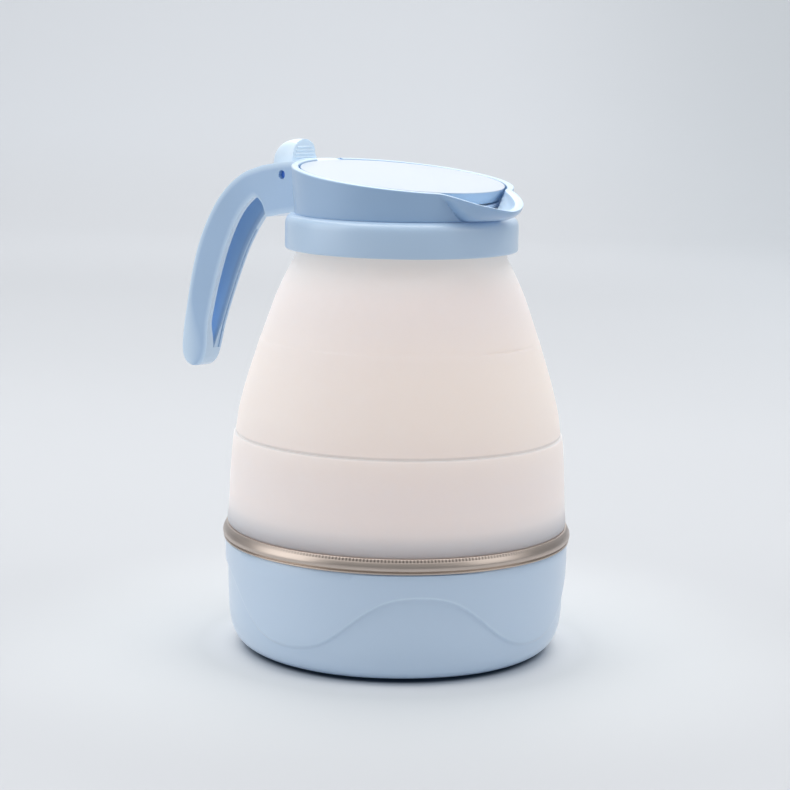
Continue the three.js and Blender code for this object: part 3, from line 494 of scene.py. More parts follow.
def settle(made):
    """Applies a piece's modifiers to its mesh."""
    bpy.context.view_layer.update()
    seen = made.evaluated_get(bpy.context.evaluated_depsgraph_get())
    mesh = bpy.data.meshes.new_from_object(seen)
    made.modifiers.clear()
    made.data = mesh
    return made


def carve(made, *cutters):
    """Cuts other shapes, given as bmeshes, out of a piece."""
    for cutter in cutters:
        mesh = bpy.data.meshes.new("cutter")
        cutter.to_mesh(mesh)
        cutter.free()
        tool = bpy.data.objects.new("cutter", mesh)
        scene_objects.link(tool)
        cut = made.modifiers.new("cut", "BOOLEAN")
        cut.operation = "DIFFERENCE"
        cut.solver = "EXACT"
        cut.object = tool
        settle(made)
        bpy.data.objects.remove(tool)
    shade_smooth(made.data)
    return made


def move(bm, vec):
    """Moves a whole bmesh."""
    bmesh.ops.translate(bm, vec=vec, verts=bm.verts[:])
    return bm


def polar(vert):
    """A vertex as its radius, azimuth and height, in millimetres and radians."""
    return math.hypot(vert.co.x, vert.co.y) / MM, math.atan2(vert.co.y, vert.co.x), vert.co.z / MM


def from_polar(radius, azimuth, height):
    """The place with that radius, azimuth and height."""
    return radius * math.cos(azimuth) * MM, radius * math.sin(azimuth) * MM, height * MM


def box(size, middle, turn=0):
    """A block with sides in millimetres, turned round the upright and then moved to its place."""
    bm = bmesh.new()
    bmesh.ops.create_cube(bm, size=1)
    bmesh.ops.scale(bm, vec=Vector(size) * MM, verts=bm.verts[:])
    rotate(bm, turn, "Z")
    return move(bm, middle)


def among(geometry, kind):
    """The vertices, edges or faces among what an operator made."""
    return [g for g in geometry if isinstance(g, kind)]


def crisp_edges(bm, angle=1.0):
    """Edges whose two faces turn by more than an angle in radians."""
    return [e for e in bm.edges if e.calc_face_angle(0) > angle]


def long_edges(bm):
    """Edges of a block that run along X."""
    return [e for e in bm.edges if abs(e.verts[0].co.x - e.verts[1].co.x) > 10 * MM]


def ease(bm, edges, width, segments=3):
    """Rounds edges. The width is in millimetres."""
    bmesh.ops.bevel(
        bm, geom=edges, offset=width * MM, segments=segments, affect="EDGES", profile=0.5, material=-1
    )


print("a smooth line through 3 places has", len(smooth_line([(1, 0), (2, 1), (3, 0)])), "places")

# %% [markdown]
# ## The silicone body
# The real body is one moulding with two folds. When the top is pushed down, the band between
# the folds rolls over and ends up between the other two. Here it is one piece as well. Each
# band bulges a little, and each fold is a small ledge where the band below stands proud. The
# upper fold also has a short crease, pressed in on the side of the spout.

# %% Silicone body
silicone_wall = 2.4
lower_band = [
    (58.2, 43.3), (58.35, 45.8), (58.05, 48.6), (57.75, 54.2), (57.55, 59.8),
    (57.2, 65.4), (56.75, 70.9), (56.45, 73.4),
]
middle_band = [
    (55.75, 75.4), (55.5, 76.8), (54.8, 81.9), (53.5, 87.4), (52.0, 92.9),
    (50.3, 98.4), (49.2, 101.8), (48.2, 105.0), (47.9, 106.0),
]
upper_band = [
    (47.25, 107.6), (46.6, 109.5), (44.8, 114.7), (42.9, 120.1), (40.6, 125.5),
    (38.0, 130.9), (36.5, 133.8), (35.4, 137.0),
]
lower_ledge = [(56.38, 74.0), (56.2, 74.3), (55.95, 74.42), (55.65, 74.5), (55.6, 74.7), (55.7, 75.0)]
upper_ledge = [(47.78, 106.4), (47.72, 106.6), (47.65, 106.75), (47.55, 106.9), (47.4, 107.25)]
outside = [
    *smooth_line(lower_band), *lower_ledge, *smooth_line(middle_band),
    *upper_ledge, *smooth_line(upper_band),
]
foot_radius, foot_bottom = 57.0, 39.7
neck_radius, neck_top = 35.3, 146.0
outside = [
    (foot_radius, foot_bottom), (foot_radius, 43.0), *outside,
    (neck_radius, 143.4), (36.7, 143.6), (36.7, neck_top),
]
inside = [(radius - silicone_wall, height) for radius, height in reversed(outside[1:-2])]
inside = [(neck_radius - silicone_wall, neck_top), *inside, (foot_radius - silicone_wall, foot_bottom)]
skin = spun(outside + inside)
pinch_height, pinch_half_height, pinch_depth = 106.7, 0.6, 0.5
pinch_least_radius = 46.9
pinch_azimuth, pinch_spread = math.radians(3), math.radians(17)
for vert in skin.verts:
    radius, azimuth, height = polar(vert)
    nearness = 1 - abs(height - pinch_height) / pinch_half_height
    if radius > pinch_least_radius and nearness > 0:
        turn = azimuth - pinch_azimuth
        pinch = 1 - pinch_depth * nearness * math.exp(-((turn / pinch_spread) ** 2)) / radius
        vert.co.x *= pinch
        vert.co.y *= pinch
body = piece(skin, "silicone_body", silicone)
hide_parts("body_lower_band", "body_middle_band", "body_upper_band")
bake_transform(body)

# %% [markdown]
# ## Collar and neck sleeve
# The collar grips the silicone from outside, and a white sleeve clamps it from inside. Both are
# plain turned rings with eased corners. The collar's shoulder is the softest edge, because it
# catches a broad light line in the photograph.

# %% Collar and neck sleeve
collar_profile = [
    (36.0, 137.2, 0.2), (39.6, 137.2, 0.9), (39.6, 148.9, 3.6), (33.0, 148.9, 0.3),
    (33.0, 146.4, 0.2), (37.3, 146.4, 0.3), (37.3, 139.0, 0.3), (36.0, 139.0, 0.2),
]
collar = spun(eased(collar_profile, 6))
# The collar is marked all over for a paler painted tone: painted light.
mark_painted_light(collar, lambda vert: 0.4)
piece(collar, "collar_ring", blue_plastic, "top", ["collar"])
sleeve_profile = [
    (30.5, 136.0, 0.8), (32.7, 136.0, 0.8), (32.7, 149.2, 0), (34.0, 149.2, 0.2),
    (34.0, 150.8, 0.5), (30.5, 150.8, 0.6),
]
piece(spun(eased(sleeve_profile)), "neck_sleeve", white_plastic, "top", ["neck_ring"])

# %% [markdown]
# ## The ring with the spout
# The ring's top lies in a plane that falls towards the spout, and its front is drawn out into a
# lip. A spun ring has a level top, so each of its vertices is moved after spinning: up or down
# on to the falling plane, and outwards where the lip is. The move follows a bow, so the lip
# leaves the wall low down and turns up at its rim, as on a jug. A notch at the back, cut with a
# block, lets the lid's arm out.

# %% Spout ring
ring_foot = 149.2
ring_foot_radius = 36.5
ring_top_radius = 37.7
ring_wall = 2.4
plane_height = 162.0
plane_fall = math.radians(6.2)
lip_reach = 11.4
lip_half_angle = math.radians(28.7)
lip_foot_angle = math.radians(12)
lip_rim_angle = math.radians(6.5)
lip_tip_angle = math.radians(10.6)
lip_drop = 2.7
lip_tip_drop = 1.0
lip_thickening = 0.8
lip_floor = 1.6
lip_sharpness = 1.22
lip_fullness = 2.5
lip_start_share = 0.9
lip_fade = math.radians(6)
rim_rise = 0.13
rim_painted_highlight = 0.45


def passage(share):
    """A smooth passage from 0 to 1."""
    held = min(1, max(0, share))
    return held * held * (3 - 2 * held)


def bow(share):
    """How far the bow of the lip has swept out at a share of its height."""
    rest = 1 - min(1, max(0, share))
    return (1 - rest**lip_fullness) ** (1 / lip_fullness)


def lip_at(azimuth):
    """How far the lip is drawn out, how low its rim lies, and where it leaves the wall."""
    turn = abs(azimuth)
    reach = lip_reach * max(0, math.cos(min(1, turn / lip_half_angle) * math.pi / 2)) ** lip_sharpness
    side = passage((lip_half_angle - turn) / (lip_half_angle - lip_rim_angle))
    tip = passage(1 - turn / lip_tip_angle)
    start = lip_start_share * passage((turn - lip_foot_angle) / (lip_half_angle - lip_foot_angle))
    return reach, lip_drop * side + lip_tip_drop * tip, start


level = plane_height - ring_foot
flare = ring_top_radius - ring_foot_radius
inner_foot = ring_foot_radius - ring_wall
up_shares = [0.01, 0.02, 0.035, 0.055, 0.08, 0.11, *[0.15 + 0.05 * i for i in range(17)]]
outer_wall = [(ring_foot_radius + flare * s, ring_foot + level * s) for s in up_shares]
inner_wall = [(radius - ring_wall, height) for radius, height in reversed(outer_wall)]
rim = [
    (0, -0.42), (-0.08, -0.22), (-0.25, -0.07), (-0.5, 0), (-1.2, 0.03),
    (-1.9, 0), (-2.15, -0.07), (-2.32, -0.2), (-2.4, -0.4),
]
rim = [(ring_top_radius + across_rim, plane_height + rim_rise + up) for across_rim, up in rim]
foot = [(inner_foot + 0.2, ring_foot - 0.25), (ring_foot_radius - 0.1, ring_foot - 0.25)]
ring = spun([*outer_wall, *rim, *inner_wall, *foot], fine_steps)
painted_light = ring.verts.layers.float.new("painted_light")
for vert in ring.verts:
    radius, azimuth, height = polar(vert)
    share = (height - ring_foot) / level
    reach, drop, start = lip_at(azimuth)
    top = plane_height - math.tan(plane_fall) * (ring_top_radius + reach) * math.cos(azimuth) - drop
    height = ring_foot + share * (top - ring_foot)
    inwards = min(1, max(0, (ring_foot_radius + flare * share - radius) / ring_wall))
    leave = ring_foot + start * (top - ring_foot) + lip_floor * (1 - start) * inwards
    radius += (reach - min(lip_thickening, reach / 2) * inwards) * bow((height - leave) / (top - leave))
    # Painted light: a paler tone and glow on the inner face of the lip, and a painted highlight along the
    # rim.
    lip_painted_light = inwards * passage((lip_half_angle - abs(azimuth)) / lip_fade)
    vert[painted_light] = max(lip_painted_light, rim_painted_highlight * passage((share - 0.965) / 0.03))
    vert.co = from_polar(radius, azimuth, height)
spout = piece(ring, "spout_ring_fine", blue_plastic, "top", ["spout_ring"])
notch_size, notch_middle = (16, 12.4, 12), (-38, 0, 166.35)
carve(spout, box(notch_size, Vector(notch_middle) * MM))

# %% [markdown]
# ## The handle
# The handle is a channel: two cheeks, a back wall along its outer edge, and a web under its
# neck. Its outline is given as pairs of places, one on the outer edge and one on the inner
# edge. One cheek is drawn as a strip of faces along those pairs and thickened. The faces where
# the back wall, the web and the solid tip start are then pulled to the middle plane, and a
# mirror makes the other half. Towards the tip the channel narrows to a slit.

# %% Handle outline
handle_pairs = [
    # outer x, outer z, inner x, inner z, half width
    (-36.0, 166.2, -36.0, 148.7, 8.25),
    (-45.1, 164.9, -44.6, 147.2, 8.25),
    (-52.4, 164.1, -51.2, 146.1, 8.25),
    (-59.8, 162.9, -57.8, 144.8, 8.25),
    (-62.2, 162.3, -58.9, 146.3, 8.25),
    (-65.0, 161.5, -60.0, 148.8, 8.25),
    (-68.2, 160.5, -61.7, 150.6, 8.25),
    (-71.7, 158.9, -64.0, 151.5, 8.2),
    (-76.6, 156.0, -67.4, 149.6, 8.0),
    (-81.5, 152.2, -71.3, 146.4, 7.7),
    (-86.4, 147.2, -74.5, 142.8, 7.35),
    (-91.2, 140.7, -77.7, 138.3, 6.95),
    (-95.1, 134.2, -80.9, 133.0, 6.5),
    (-98.2, 127.2, -83.9, 126.9, 6.15),
    (-101.0, 118.9, -87.1, 119.3, 5.75),
    (-103.5, 110.1, -90.2, 111.0, 5.2),
    (-105.8, 102.2, -92.8, 103.0, 4.6),
    (-107.3, 96.6, -93.9, 97.3, 4.0),
    (-108.0, 92.6, -94.7, 93.3, 3.6),
    (-107.5, 89.1, -96.0, 89.9, 3.4),
    (-105.6, 86.9, -98.1, 87.5, 3.25),
    (-103.1, 86.1, -100.3, 86.3, 3.15),
]
cheek_wall = 1.85
thick_wall = 2.5
cavity_end = 93.0
slit = 0.25
floor_gap = 0.3
rising_length = 22
narrowing_lead = 2
narrowing_length = 13
back_wall = 2.3
web_wall = 2.4
stations = smooth_line(handle_pairs, 6)
print("stations along the handle:", len(stations))

# %% Handle


def station_row(station):
    """The four places of a cheek at a station: outer edge, back wall, web and inner edge."""
    outer = Vector((station[0], 0, station[1]))
    inner = Vector((station[2], 0, station[3]))
    along = (inner - outer).normalized()
    shallow = 1 - passage((station[3] - cavity_end) / rising_length)
    floor = back_wall + ((inner - outer).length - back_wall - web_wall - floor_gap) * shallow
    row = [outer, outer + along * floor, inner - along * web_wall, inner]
    walls = [thick_wall, thick_wall, thick_wall, cheek_wall]
    narrow = passage((station[3] - cavity_end + narrowing_lead) / narrowing_length)
    halves = [max(slit, (station[4] - w) * narrow) for w in walls]
    return [(p + Vector((0, half, 0))) * MM for p, half in zip(row, halves)]


grip = bmesh.new()
column = grip.verts.layers.int.new("column")
station_number = grip.verts.layers.int.new("station")
front = [grip.verts.new(p) for p in station_row(stations[0])]
for i, vert in enumerate(front):
    vert[column] = i
edges = [grip.edges.new(pair) for pair in zip(front, front[1:])]
for number, station in enumerate(stations[1:], 1):
    made = bmesh.ops.extrude_edge_only(grip, edges=edges)["geom"]
    row = station_row(station)
    for vert in among(made, BMVert):
        vert.co = row[vert[column]]
        vert[station_number] = number
    edges = [e for e in among(made, BMEdge) if all(v[station_number] == number for v in e.verts)]
made = bmesh.ops.extrude_face_region(grip, geom=grip.faces[:])["geom"]
for vert in among(made, BMVert):
    vert.co.y = stations[vert[station_number]][4] * MM
face_outwards(grip)

slot_end = -64.5
arch_top = -62.5
arch_foot = 140


def on_inside(face, columns):
    """True for a face on the cheek's inner side, between those two columns."""
    found = {v[column] for v in face.verts}
    return face.normal.y < -0.5 and found == columns


back = [f for f in grip.faces if on_inside(f, {0, 1}) and f.calc_center_median().x < slot_end * MM]
tip = [
    f for f in grip.faces
    if f.normal.y < -0.5 and f.calc_center_median().z < cavity_end * MM and f not in back
]
web = [
    f for f in grip.faces
    if on_inside(f, {2, 3})
    and f.calc_center_median().x > arch_top * MM
    and f.calc_center_median().z > arch_foot * MM
]
made = bmesh.ops.extrude_face_region(grip, geom=back + web + tip)["geom"]
bmesh.ops.delete(grip, geom=back + web + tip, context="FACES")
for vert in among(made, BMVert):
    vert.co.y = 0
bmesh.ops.delete(grip, geom=among(made, BMFace), context="FACES")
bmesh.ops.mirror(grip, geom=grip.verts[:] + grip.edges[:] + grip.faces[:], axis="Y", merge_dist=0.001 * MM)
face_outwards(grip)
weight = grip.edges.layers.float.new("bevel_weight_edge")
plain_weight, outer_weight, rim_weight, inner_rim_weight = 0.4, 1.0, 0.6, 0.15
least_outer_half = 2.9
for edge in grip.edges:
    if len(edge.link_faces) == 2 and edge.calc_face_angle(0) > math.radians(50):
        columns = {v[column] for v in edge.verts}
        on_face = all(abs(v.co.y) > (stations[v[station_number]][4] - 0.5) * MM for v in edge.verts)
        edge[weight] = plain_weight
        if columns == {0} and abs(edge.verts[0].co.y) > least_outer_half * MM:
            edge[weight] = outer_weight
        elif columns == {3}:
            edge[weight] = rim_weight if on_face else inner_rim_weight


def grip_share(vert):
    """Painted highlights along the handle's edges, and painted light in its channel, strongest low down."""
    half = stations[vert[station_number]][4] * MM
    inside = abs(vert.co.y) < half - 1 * MM
    if inside and vert[column] in (1, 2):
        high = passage((vert.co.z / MM - cavity_end) / 45)
        return 0.6 * high - 1 if vert[column] == 1 else 0.5 * high - 0.7
    return {0: 0.75, 3: 0.5}.get(vert[column], 0)


mark_painted_light(grip, grip_share)
handle = piece(grip, "handle_grip", blue_plastic, "top", ["handle"])
bevel = handle.modifiers.new("soft edges", "BEVEL")
bevel.limit_method = "WEIGHT"
bevel.width = 1.7 * MM
bevel.segments = 4
settle(handle)
shade_smooth(handle.data)

# %% [markdown]
# The rim of the far cheek has a fine groove along it, and the near one shows none. A strip
# follows the stations of the handle and is cut out of the rim.

# %% Groove in a rim
groove_depth = 0.7
groove_middle = 1.25
groove_half = 0.22
groove_top, groove_reach = 139, -76


def groove_strip():
    """A strip along the inner edge of the far cheek."""
    strip = bmesh.new()
    spots = strip.verts.layers.int.new("spot")
    row_of = strip.verts.layers.int.new("row")
    rows = []
    for station in stations:
        outer = Vector((station[0], 0, station[1]))
        inner = Vector((station[2], 0, station[3]))
        if not cavity_end < inner.z < groove_top or inner.x > groove_reach:
            continue
        along = (inner - outer).normalized()
        side = station[4] - groove_middle
        deep, clear = inner - along * groove_depth, inner + along
        places = [(deep, -groove_half), (deep, groove_half), (clear, groove_half), (clear, -groove_half)]
        rows.append([(p + Vector((0, side + off, 0))) * MM for p, off in places])
    verts = [strip.verts.new(p) for p in rows[0]]
    for i, vert in enumerate(verts):
        vert[spots] = i
    strip.faces.new(verts)
    edges = strip.edges[:]
    for number, row in enumerate(rows[1:], 1):
        made = bmesh.ops.extrude_edge_only(strip, edges=edges)["geom"]
        for vert in among(made, BMVert):
            vert.co = row[vert[spots]]
            vert[row_of] = number
        edges = [e for e in among(made, BMEdge) if all(v[row_of] == number for v in e.verts)]
    bmesh.ops.holes_fill(strip, edges=edges, sides=0)
    face_outwards(strip)
    return strip


carve(handle, groove_strip())

# %% [markdown]
# The pin runs through both cheeks and ends a little inside them, so each hole shows as a small
# dark recess. The holes are cut with a bar that is longer than the handle is wide.

# %% Pin and its holes
pin_place = Vector((-50.4, 0, 160.0)) * MM
pin_radius, pin_length = 1.5, 13.9
hole_radius, hole_length = 1.6, 22


def crossbar(radius, length, place, steps=48):
    """A round bar along Y."""
    bm = bmesh.new()
    bmesh.ops.create_cone(
        bm, cap_ends=True, segments=steps, radius1=radius * MM, radius2=radius * MM, depth=length * MM
    )
    rotate(bm, math.pi / 2, "X")
    return move(bm, place)


carve(handle, crossbar(hole_radius, hole_length, pin_place))
# The pin has the deeper blue finish: painted shade of its recess.
pin = crossbar(pin_radius, pin_length, pin_place)
ease(pin, crisp_edges(pin), 0.3, 2)
piece(pin, "hinge_rod", pin_shade_plastic, "top", ["hinge_pin"])

# %% [markdown]
# ## The lid
# The cap is a shallow disc that lies flush in the ring. It is spun level and then tilted on to
# the falling plane. An arm leaves its back edge through the notch in the ring and ends in a
# knuckle round the pin. The thumb tab stands on the knuckle: a quarter of a rounded body, flat
# in front with a few ribs for the thumb.

# %% Lid cap
lid_radius = 34.7
tilt = Matrix.Translation((0, 0, plane_height * MM)) @ Matrix.Rotation(plane_fall, 4, "Y")


def on_lid_plane(bm):
    """Tilts a level piece on to the falling plane."""
    bmesh.ops.transform(bm, matrix=tilt, verts=bm.verts[:])
    return bm


crown = smooth_line([(0, 1.2), (11, 1.1), (22, 0.75), (30, 0.35), (34.4, 0)], 5)
cap_profile = [
    *crown, (34.6, -0.06), (34.68, -0.16), (lid_radius, -0.3), (33.7, -3.9), (33.4, -4.2),
    (32.9, -4.2), (32.6, -4.0), (32.7, -2.2), (32.4, -2.0), (0, -2.0),
]
cap = spun(cap_profile)
# The cap's top face is marked for a paler painted tone and a painted glow: painted light.
mark_painted_light(cap, lambda vert: 1 if vert.co.z > -0.2 * MM else 0)
piece(on_lid_plane(cap), "lid_cap", lid_plastic_painted_light, "lid", ["lid_cover"])

liner_profile = [
    (0, -2.3), (32.0, -2.3), (32.3, -2.6), (32.3, -4.4), (32.0, -4.6), (31.3, -4.6), (31.3, -6.2),
    (30.9, -6.6), (26, -6.6), (25.5, -6.1), (0, -6.1),
]
piece(on_lid_plane(spun(liner_profile)), "lid_inner_face", white_plastic, "lid", ["lid_liner"])
seal_profile = [(31.6, -4.9, 0.3), (31.6, -6.4, 0.3), (33.6, -6.4, 0.5), (33.6, -4.9, 0.5)]
piece(on_lid_plane(spun(eased(seal_profile))), "lid_seal", soft_seal, "lid", ["lid_gasket"])

# %% Arm, knuckle and tab
arm_half = 6.05
arm_outline = [
    (-33.0, 165.4), (-36.0, 165.8), (-38.1, 166.1), (-42.0, 166.0), (-48.0, 164.6), (-52.0, 162.5),
    (-52.0, 159.0), (-47.0, 159.4), (-38.1, 161.5), (-33.0, 162.0),
]
arm = bmesh.new()
side = arm.faces.new([arm.verts.new((x * MM, -arm_half * MM, z * MM)) for x, z in arm_outline])
made = bmesh.ops.extrude_face_region(arm, geom=[side])["geom"]
bmesh.ops.translate(arm, vec=(0, 2 * arm_half * MM, 0), verts=among(made, BMVert))
face_outwards(arm)
ease(arm, crisp_edges(arm, 0.8), 0.4)
# The arm is marked for a paler painted tone and glow: painted light.
mark_painted_light(arm, lambda vert: 0.8)
piece(arm, "lid_arm", blue_plastic, "lid")

knuckle = crossbar(4.0, 2 * arm_half, pin_place)
ease(knuckle, crisp_edges(knuckle), 0.5)
piece(knuckle, "lid_knuckle", blue_plastic, "lid")

tab_front = -47.4
tab_foot = 162.0
tab_top = 172.5
tab_back = -61.2
tab = bmesh.new()
bmesh.ops.create_uvsphere(tab, u_segments=64, v_segments=48, radius=1)


def fuller(value, power):
    """A place on the unit ball, pushed outwards so that the body is fuller than a ball."""
    return math.copysign(abs(value) ** power, value)


for vert in tab.verts:
    vert.co = (
        (tab_front + fuller(vert.co.x, 0.85) * (tab_front - tab_back)) * MM,
        fuller(vert.co.y, 0.78) * arm_half * MM,
        (tab_foot + fuller(vert.co.z, 0.78) * (tab_top - tab_foot)) * MM,
    )
for co, normal in (((tab_front * MM, 0, 0), (1, 0, 0)), ((0, 0, tab_foot * MM), (0, 0, -1))):
    geometry = tab.verts[:] + tab.edges[:] + tab.faces[:]
    cut = bmesh.ops.bisect_plane(tab, geom=geometry, plane_co=co, plane_no=normal, clear_outer=True)
    bmesh.ops.holes_fill(tab, edges=among(cut["geom_cut"], BMEdge), sides=0)
face_outwards(tab)
ease(tab, crisp_edges(tab, 0.7), 0.45)
# The tab is marked for a paler painted tone and glow: painted light.
mark_painted_light(tab, lambda vert: 1)
piece(tab, "thumb_tab", blue_plastic, "lid")

first_rib, rib_pitch, rib_radius, rib_sink = 166.1, 1.2, 0.38, 0.12
rib_width_share = 0.86
for i in range(4):
    height = first_rib + rib_pitch * i
    share = (height - tab_foot) / (tab_top - tab_foot)
    half = arm_half * rib_width_share * math.sqrt(1 - share**2.4)
    rib = crossbar(rib_radius, 2 * half, Vector((tab_front - rib_sink, 0, height)) * MM, 16)
    ease(rib, crisp_edges(rib), 0.3)
    # The ribs are marked for a paler painted tone and glow: painted light.
    mark_painted_light(rib, lambda vert: 1)
    piece(rib, f"tab_rib_{i + 1}", blue_plastic, "lid")

# %% [markdown]
# ## The base
# The base is a plastic bowl. A wave runs round it four times, and the field above the wave
# stands proud by a little under a millimetre. The wall is spun as a plain bowl first. Then
# each row of vertices near the wave is moved up or down with it, and the rows above are moved
# outwards, so the mesh lines follow the wave and its edge stays smooth.

# %% Base shell
base_top = 37.7
wave_middle = 19.7
wave_swing = 9.8
wave_fullness = 0.25
wave_turn = math.radians(-39.5)
wave_step = 0.85
bowl_foot = 1.0
edge_below, edge_above = 0.6, 1.0
wall_mark, lip_mark = 58.0, 57.8
bowl_outside = smooth_line([
    (49.5, 1.0), (51.0, 1.15), (52.8, 1.9), (54.7, 3.5), (56.1, 6.0),
    (57.0, 9.0), (57.6, 13.0), (57.9, 20.0), (58.15, 30.0), (58.25, 37.7),
], 5)


def bowl_radius(height):
    """Radius of the plain bowl at a height."""
    for (r0, z0), (r1, z1) in zip(bowl_outside, bowl_outside[1:]):
        if height <= z1:
            return r0 + (r1 - r0) * max(0, height - z0) / (z1 - z0)
    return bowl_outside[-1][0]


rows = [0, 0.03, 0.07, 0.12, 0.18, 0.25, 0.33, 0.42, 0.52, 0.62, 0.72, 0.82, 0.9, 0.95]
below = [bowl_foot + s * (wave_middle - bowl_foot - edge_below) for s in rows]
edge_rows = [wave_middle + d for d in (-0.5, -0.3, -0.1, 0.15, 0.4, 0.65, 0.9)]
over_shares = (0.03, 0.1, 0.25, 0.45, 0.65, 0.85, 1.0)
over = [wave_middle + edge_above + s * (base_top - 0.5 - wave_middle - edge_above) for s in over_shares]
shell_profile = [
    (47.3, bowl_foot), *[(wall_mark, z) for z in below + edge_rows + over], (lip_mark, base_top),
    (56.4, base_top), (56.0, 37.3), (55.9, 20.0), (55.5, 10.0), (53.5, 4.5), (51.0, 3.2), (47.3, 3.2),
]
shell = spun(shell_profile, fine_steps)
painted_wave_highlight = shell.verts.layers.float.new("painted_light")
for vert in shell.verts:
    radius, azimuth, height = polar(vert)
    if radius < wall_mark - 0.1:
        if radius > lip_mark - 0.1:
            vert.co.x *= (bowl_radius(base_top) + wave_step - 0.4) / lip_mark
            vert.co.y *= (bowl_radius(base_top) + wave_step - 0.4) / lip_mark
        continue
    swing = math.cos(4 * (azimuth - wave_turn))
    wave = wave_middle + wave_swing * swing * (1 + wave_fullness * (1 - swing**2))
    from_line = height - wave_middle
    if from_line < -edge_below:
        share = (height - bowl_foot) / (wave_middle - edge_below - bowl_foot)
        height = bowl_foot + share * (wave - edge_below - bowl_foot)
    elif from_line > edge_above:
        share = (from_line - edge_above) / (base_top - wave_middle - edge_above)
        height = wave + edge_above + share * (base_top - wave - edge_above)
    else:
        height = wave + from_line
    proud = wave_step * passage((from_line + edge_below) / (edge_below + edge_above))
    radius = bowl_radius(height) + proud
    # A painted highlight along the edge of the proud field, stronger at the crests.
    vert[painted_wave_highlight] = (0.35 + 0.25 * swing) * math.exp(-(((from_line - 0.75) / 0.4) ** 2))
    vert.co = from_polar(radius, azimuth, height)
base = piece(shell, "base_bowl", blue_plastic, "base", ["base_shell"])

inlet_height = 16.7
window = box((14, 24.6, 17.8), Vector((-57, 0, inlet_height)) * MM)
ease(window, long_edges(window), 2.5, 6)
carve(base, window)

# %% [markdown]
# ## Steel band
# The band is a turned ring between the plastic and the silicone. Its foot has a thin lip, and
# its belly leans in towards the silicone. The knurled line near its top is in its finish: a bump
# all round, and painted shade over one arc of it.

# %% Steel band
band_profile = [
    (57.6, 38.0, 0.2), (59.6, 38.0, 0.1), (59.7, 38.45, 0.4), (59.2, 38.65, 0.1), (59.85, 39.3, 0.3),
    (60.0, 40.3, 0.7), (59.35, 41.9, 0.6), (58.6, 42.9, 0.3), (57.6, 42.9, 0.2),
]
piece(spun(eased(band_profile, 5), 192), "steel_rim", steel, "base", ["steel_band"])

# %% [markdown]
# ## Pan, underside and pad
# A drawn steel pan closes the silicone and holds the water. A flat cover closes the base from
# below, with a rubber pad on it to stand on. All three are turned, so each is one profile.

# %% Pan, underside and pad
pan_outside = [(50.7, 30.0), (53.2, 30.7), (55.0, 32.5), (55.7, 35.0), (55.7, 38.0)]
pan_inside = [(54.9, 38.8), (54.9, 35.0), (54.3, 33.0), (52.6, 31.3), (50.7, 30.8)]
pan_profile = [
    (0, 30.0), (30, 30.0), *smooth_line(pan_outside, 3), (57.3, 38.0), (57.3, 38.8),
    *smooth_line(pan_inside, 3), (30, 30.8), (0, 30.8),
]
piece(spun(pan_profile), "water_pan", bare_steel, "base", ["heating_pan"])
cover_profile = [
    (0, 1.9), (40.2, 1.9), (40.2, 1.2), (40.4, 1.0), (46.8, 1.0), (47.0, 1.2), (47.0, 3.4), (0, 3.4),
]
underside = piece(spun(cover_profile), "underside", blue_plastic, "base", ["bottom_cover"])
pad_profile = [
    (0, 0), (12, 0), (12.4, 0.3), (13.2, 0.3), (13.6, 0), (36.5, 0), (36.9, 0.3), (37.7, 0.3),
    (38.1, 0), (39.5, 0), (39.9, 0.4), (39.9, 1.6), (0, 1.6),
]
piece(spun(pad_profile), "standing_pad", rubber, "base", ["anti_slip_pad"])

# %% [markdown]
# ## Screws
# Three bare steel screws hold the cover. Each head lies in a sink that a short bar cuts, and
# two thin blocks cut the cross slot into it.

# %% Screws
screw_circle = 43.6
screw_places = []
for i in range(3):
    turn = math.radians(30 + 120 * i)
    screw_places.append(Vector((screw_circle * math.cos(turn), screw_circle * math.sin(turn), 0)) * MM)
sink_profile = [(0, -1), (3.0, -1), (3.0, 2.4), (0, 2.4)]
carve(underside, *[move(spun(sink_profile, 48), spot) for spot in screw_places])
for i, spot in enumerate(screw_places):
    head_profile = [
        (0, 1.45), (1.4, 1.35), (2.4, 1.45), (2.9, 1.75), (2.9, 2.1), (1.1, 2.1), (1.1, 13.1), (0, 13.1),
    ]
    head = move(spun(head_profile, 48), spot)
    made = piece(head, f"cover_screw_{i + 1}", bare_steel, "base", [f"bottom_screw_{i + 1}"])
    middle = spot + Vector((0, 0, 1.35)) * MM
    carve(made, *[box((3.2, 0.55, 1.0), middle, math.radians(angle)) for angle in (20, 110)])

# %% [markdown]
# ## Power inlet
# The inlet is a block with a socket in its outer face: that face is drawn in and pushed
# inwards, and what stays behind of it is taken away. Three brass pins stand in the socket.

# %% Power inlet
inlet = box((17, 24, 17.2), Vector((-47.54, 0, inlet_height)) * MM)
ease(inlet, long_edges(inlet), 2.2, 6)
mouth = [f for f in inlet.faces if f.normal.x < -0.9]
bmesh.ops.inset_region(inlet, faces=mouth, thickness=2 * MM)
made = bmesh.ops.extrude_face_region(inlet, geom=mouth)["geom"]
bmesh.ops.delete(inlet, geom=mouth, context="FACES_ONLY")
bmesh.ops.translate(inlet, vec=(15 * MM, 0, 0), verts=among(made, BMVert))
piece(inlet, "inlet_socket", dark_plastic, "base", ["power_inlet"], crease=30)
for name, y, z in (("live", -4.3, 17.6), ("neutral", 4.3, 17.6), ("earth", 0, 12.7)):
    bar = spun([(0, 0), (0.7, 0.05), (1.1, 0.5), (1.2, 1.0), (1.2, 14), (0, 14)], 32)
    rotate(bar, math.pi / 2, "Y")
    move(bar, Vector((-50.04, y, z)) * MM)
    piece(bar, f"inlet_bar_{name}", brass, "base", [f"inlet_pin_{name}"])

# %% [markdown]
# ## Parts that stay as they are
# The heater's parts are hidden inside the base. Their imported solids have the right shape, so
# they only get their finishes.

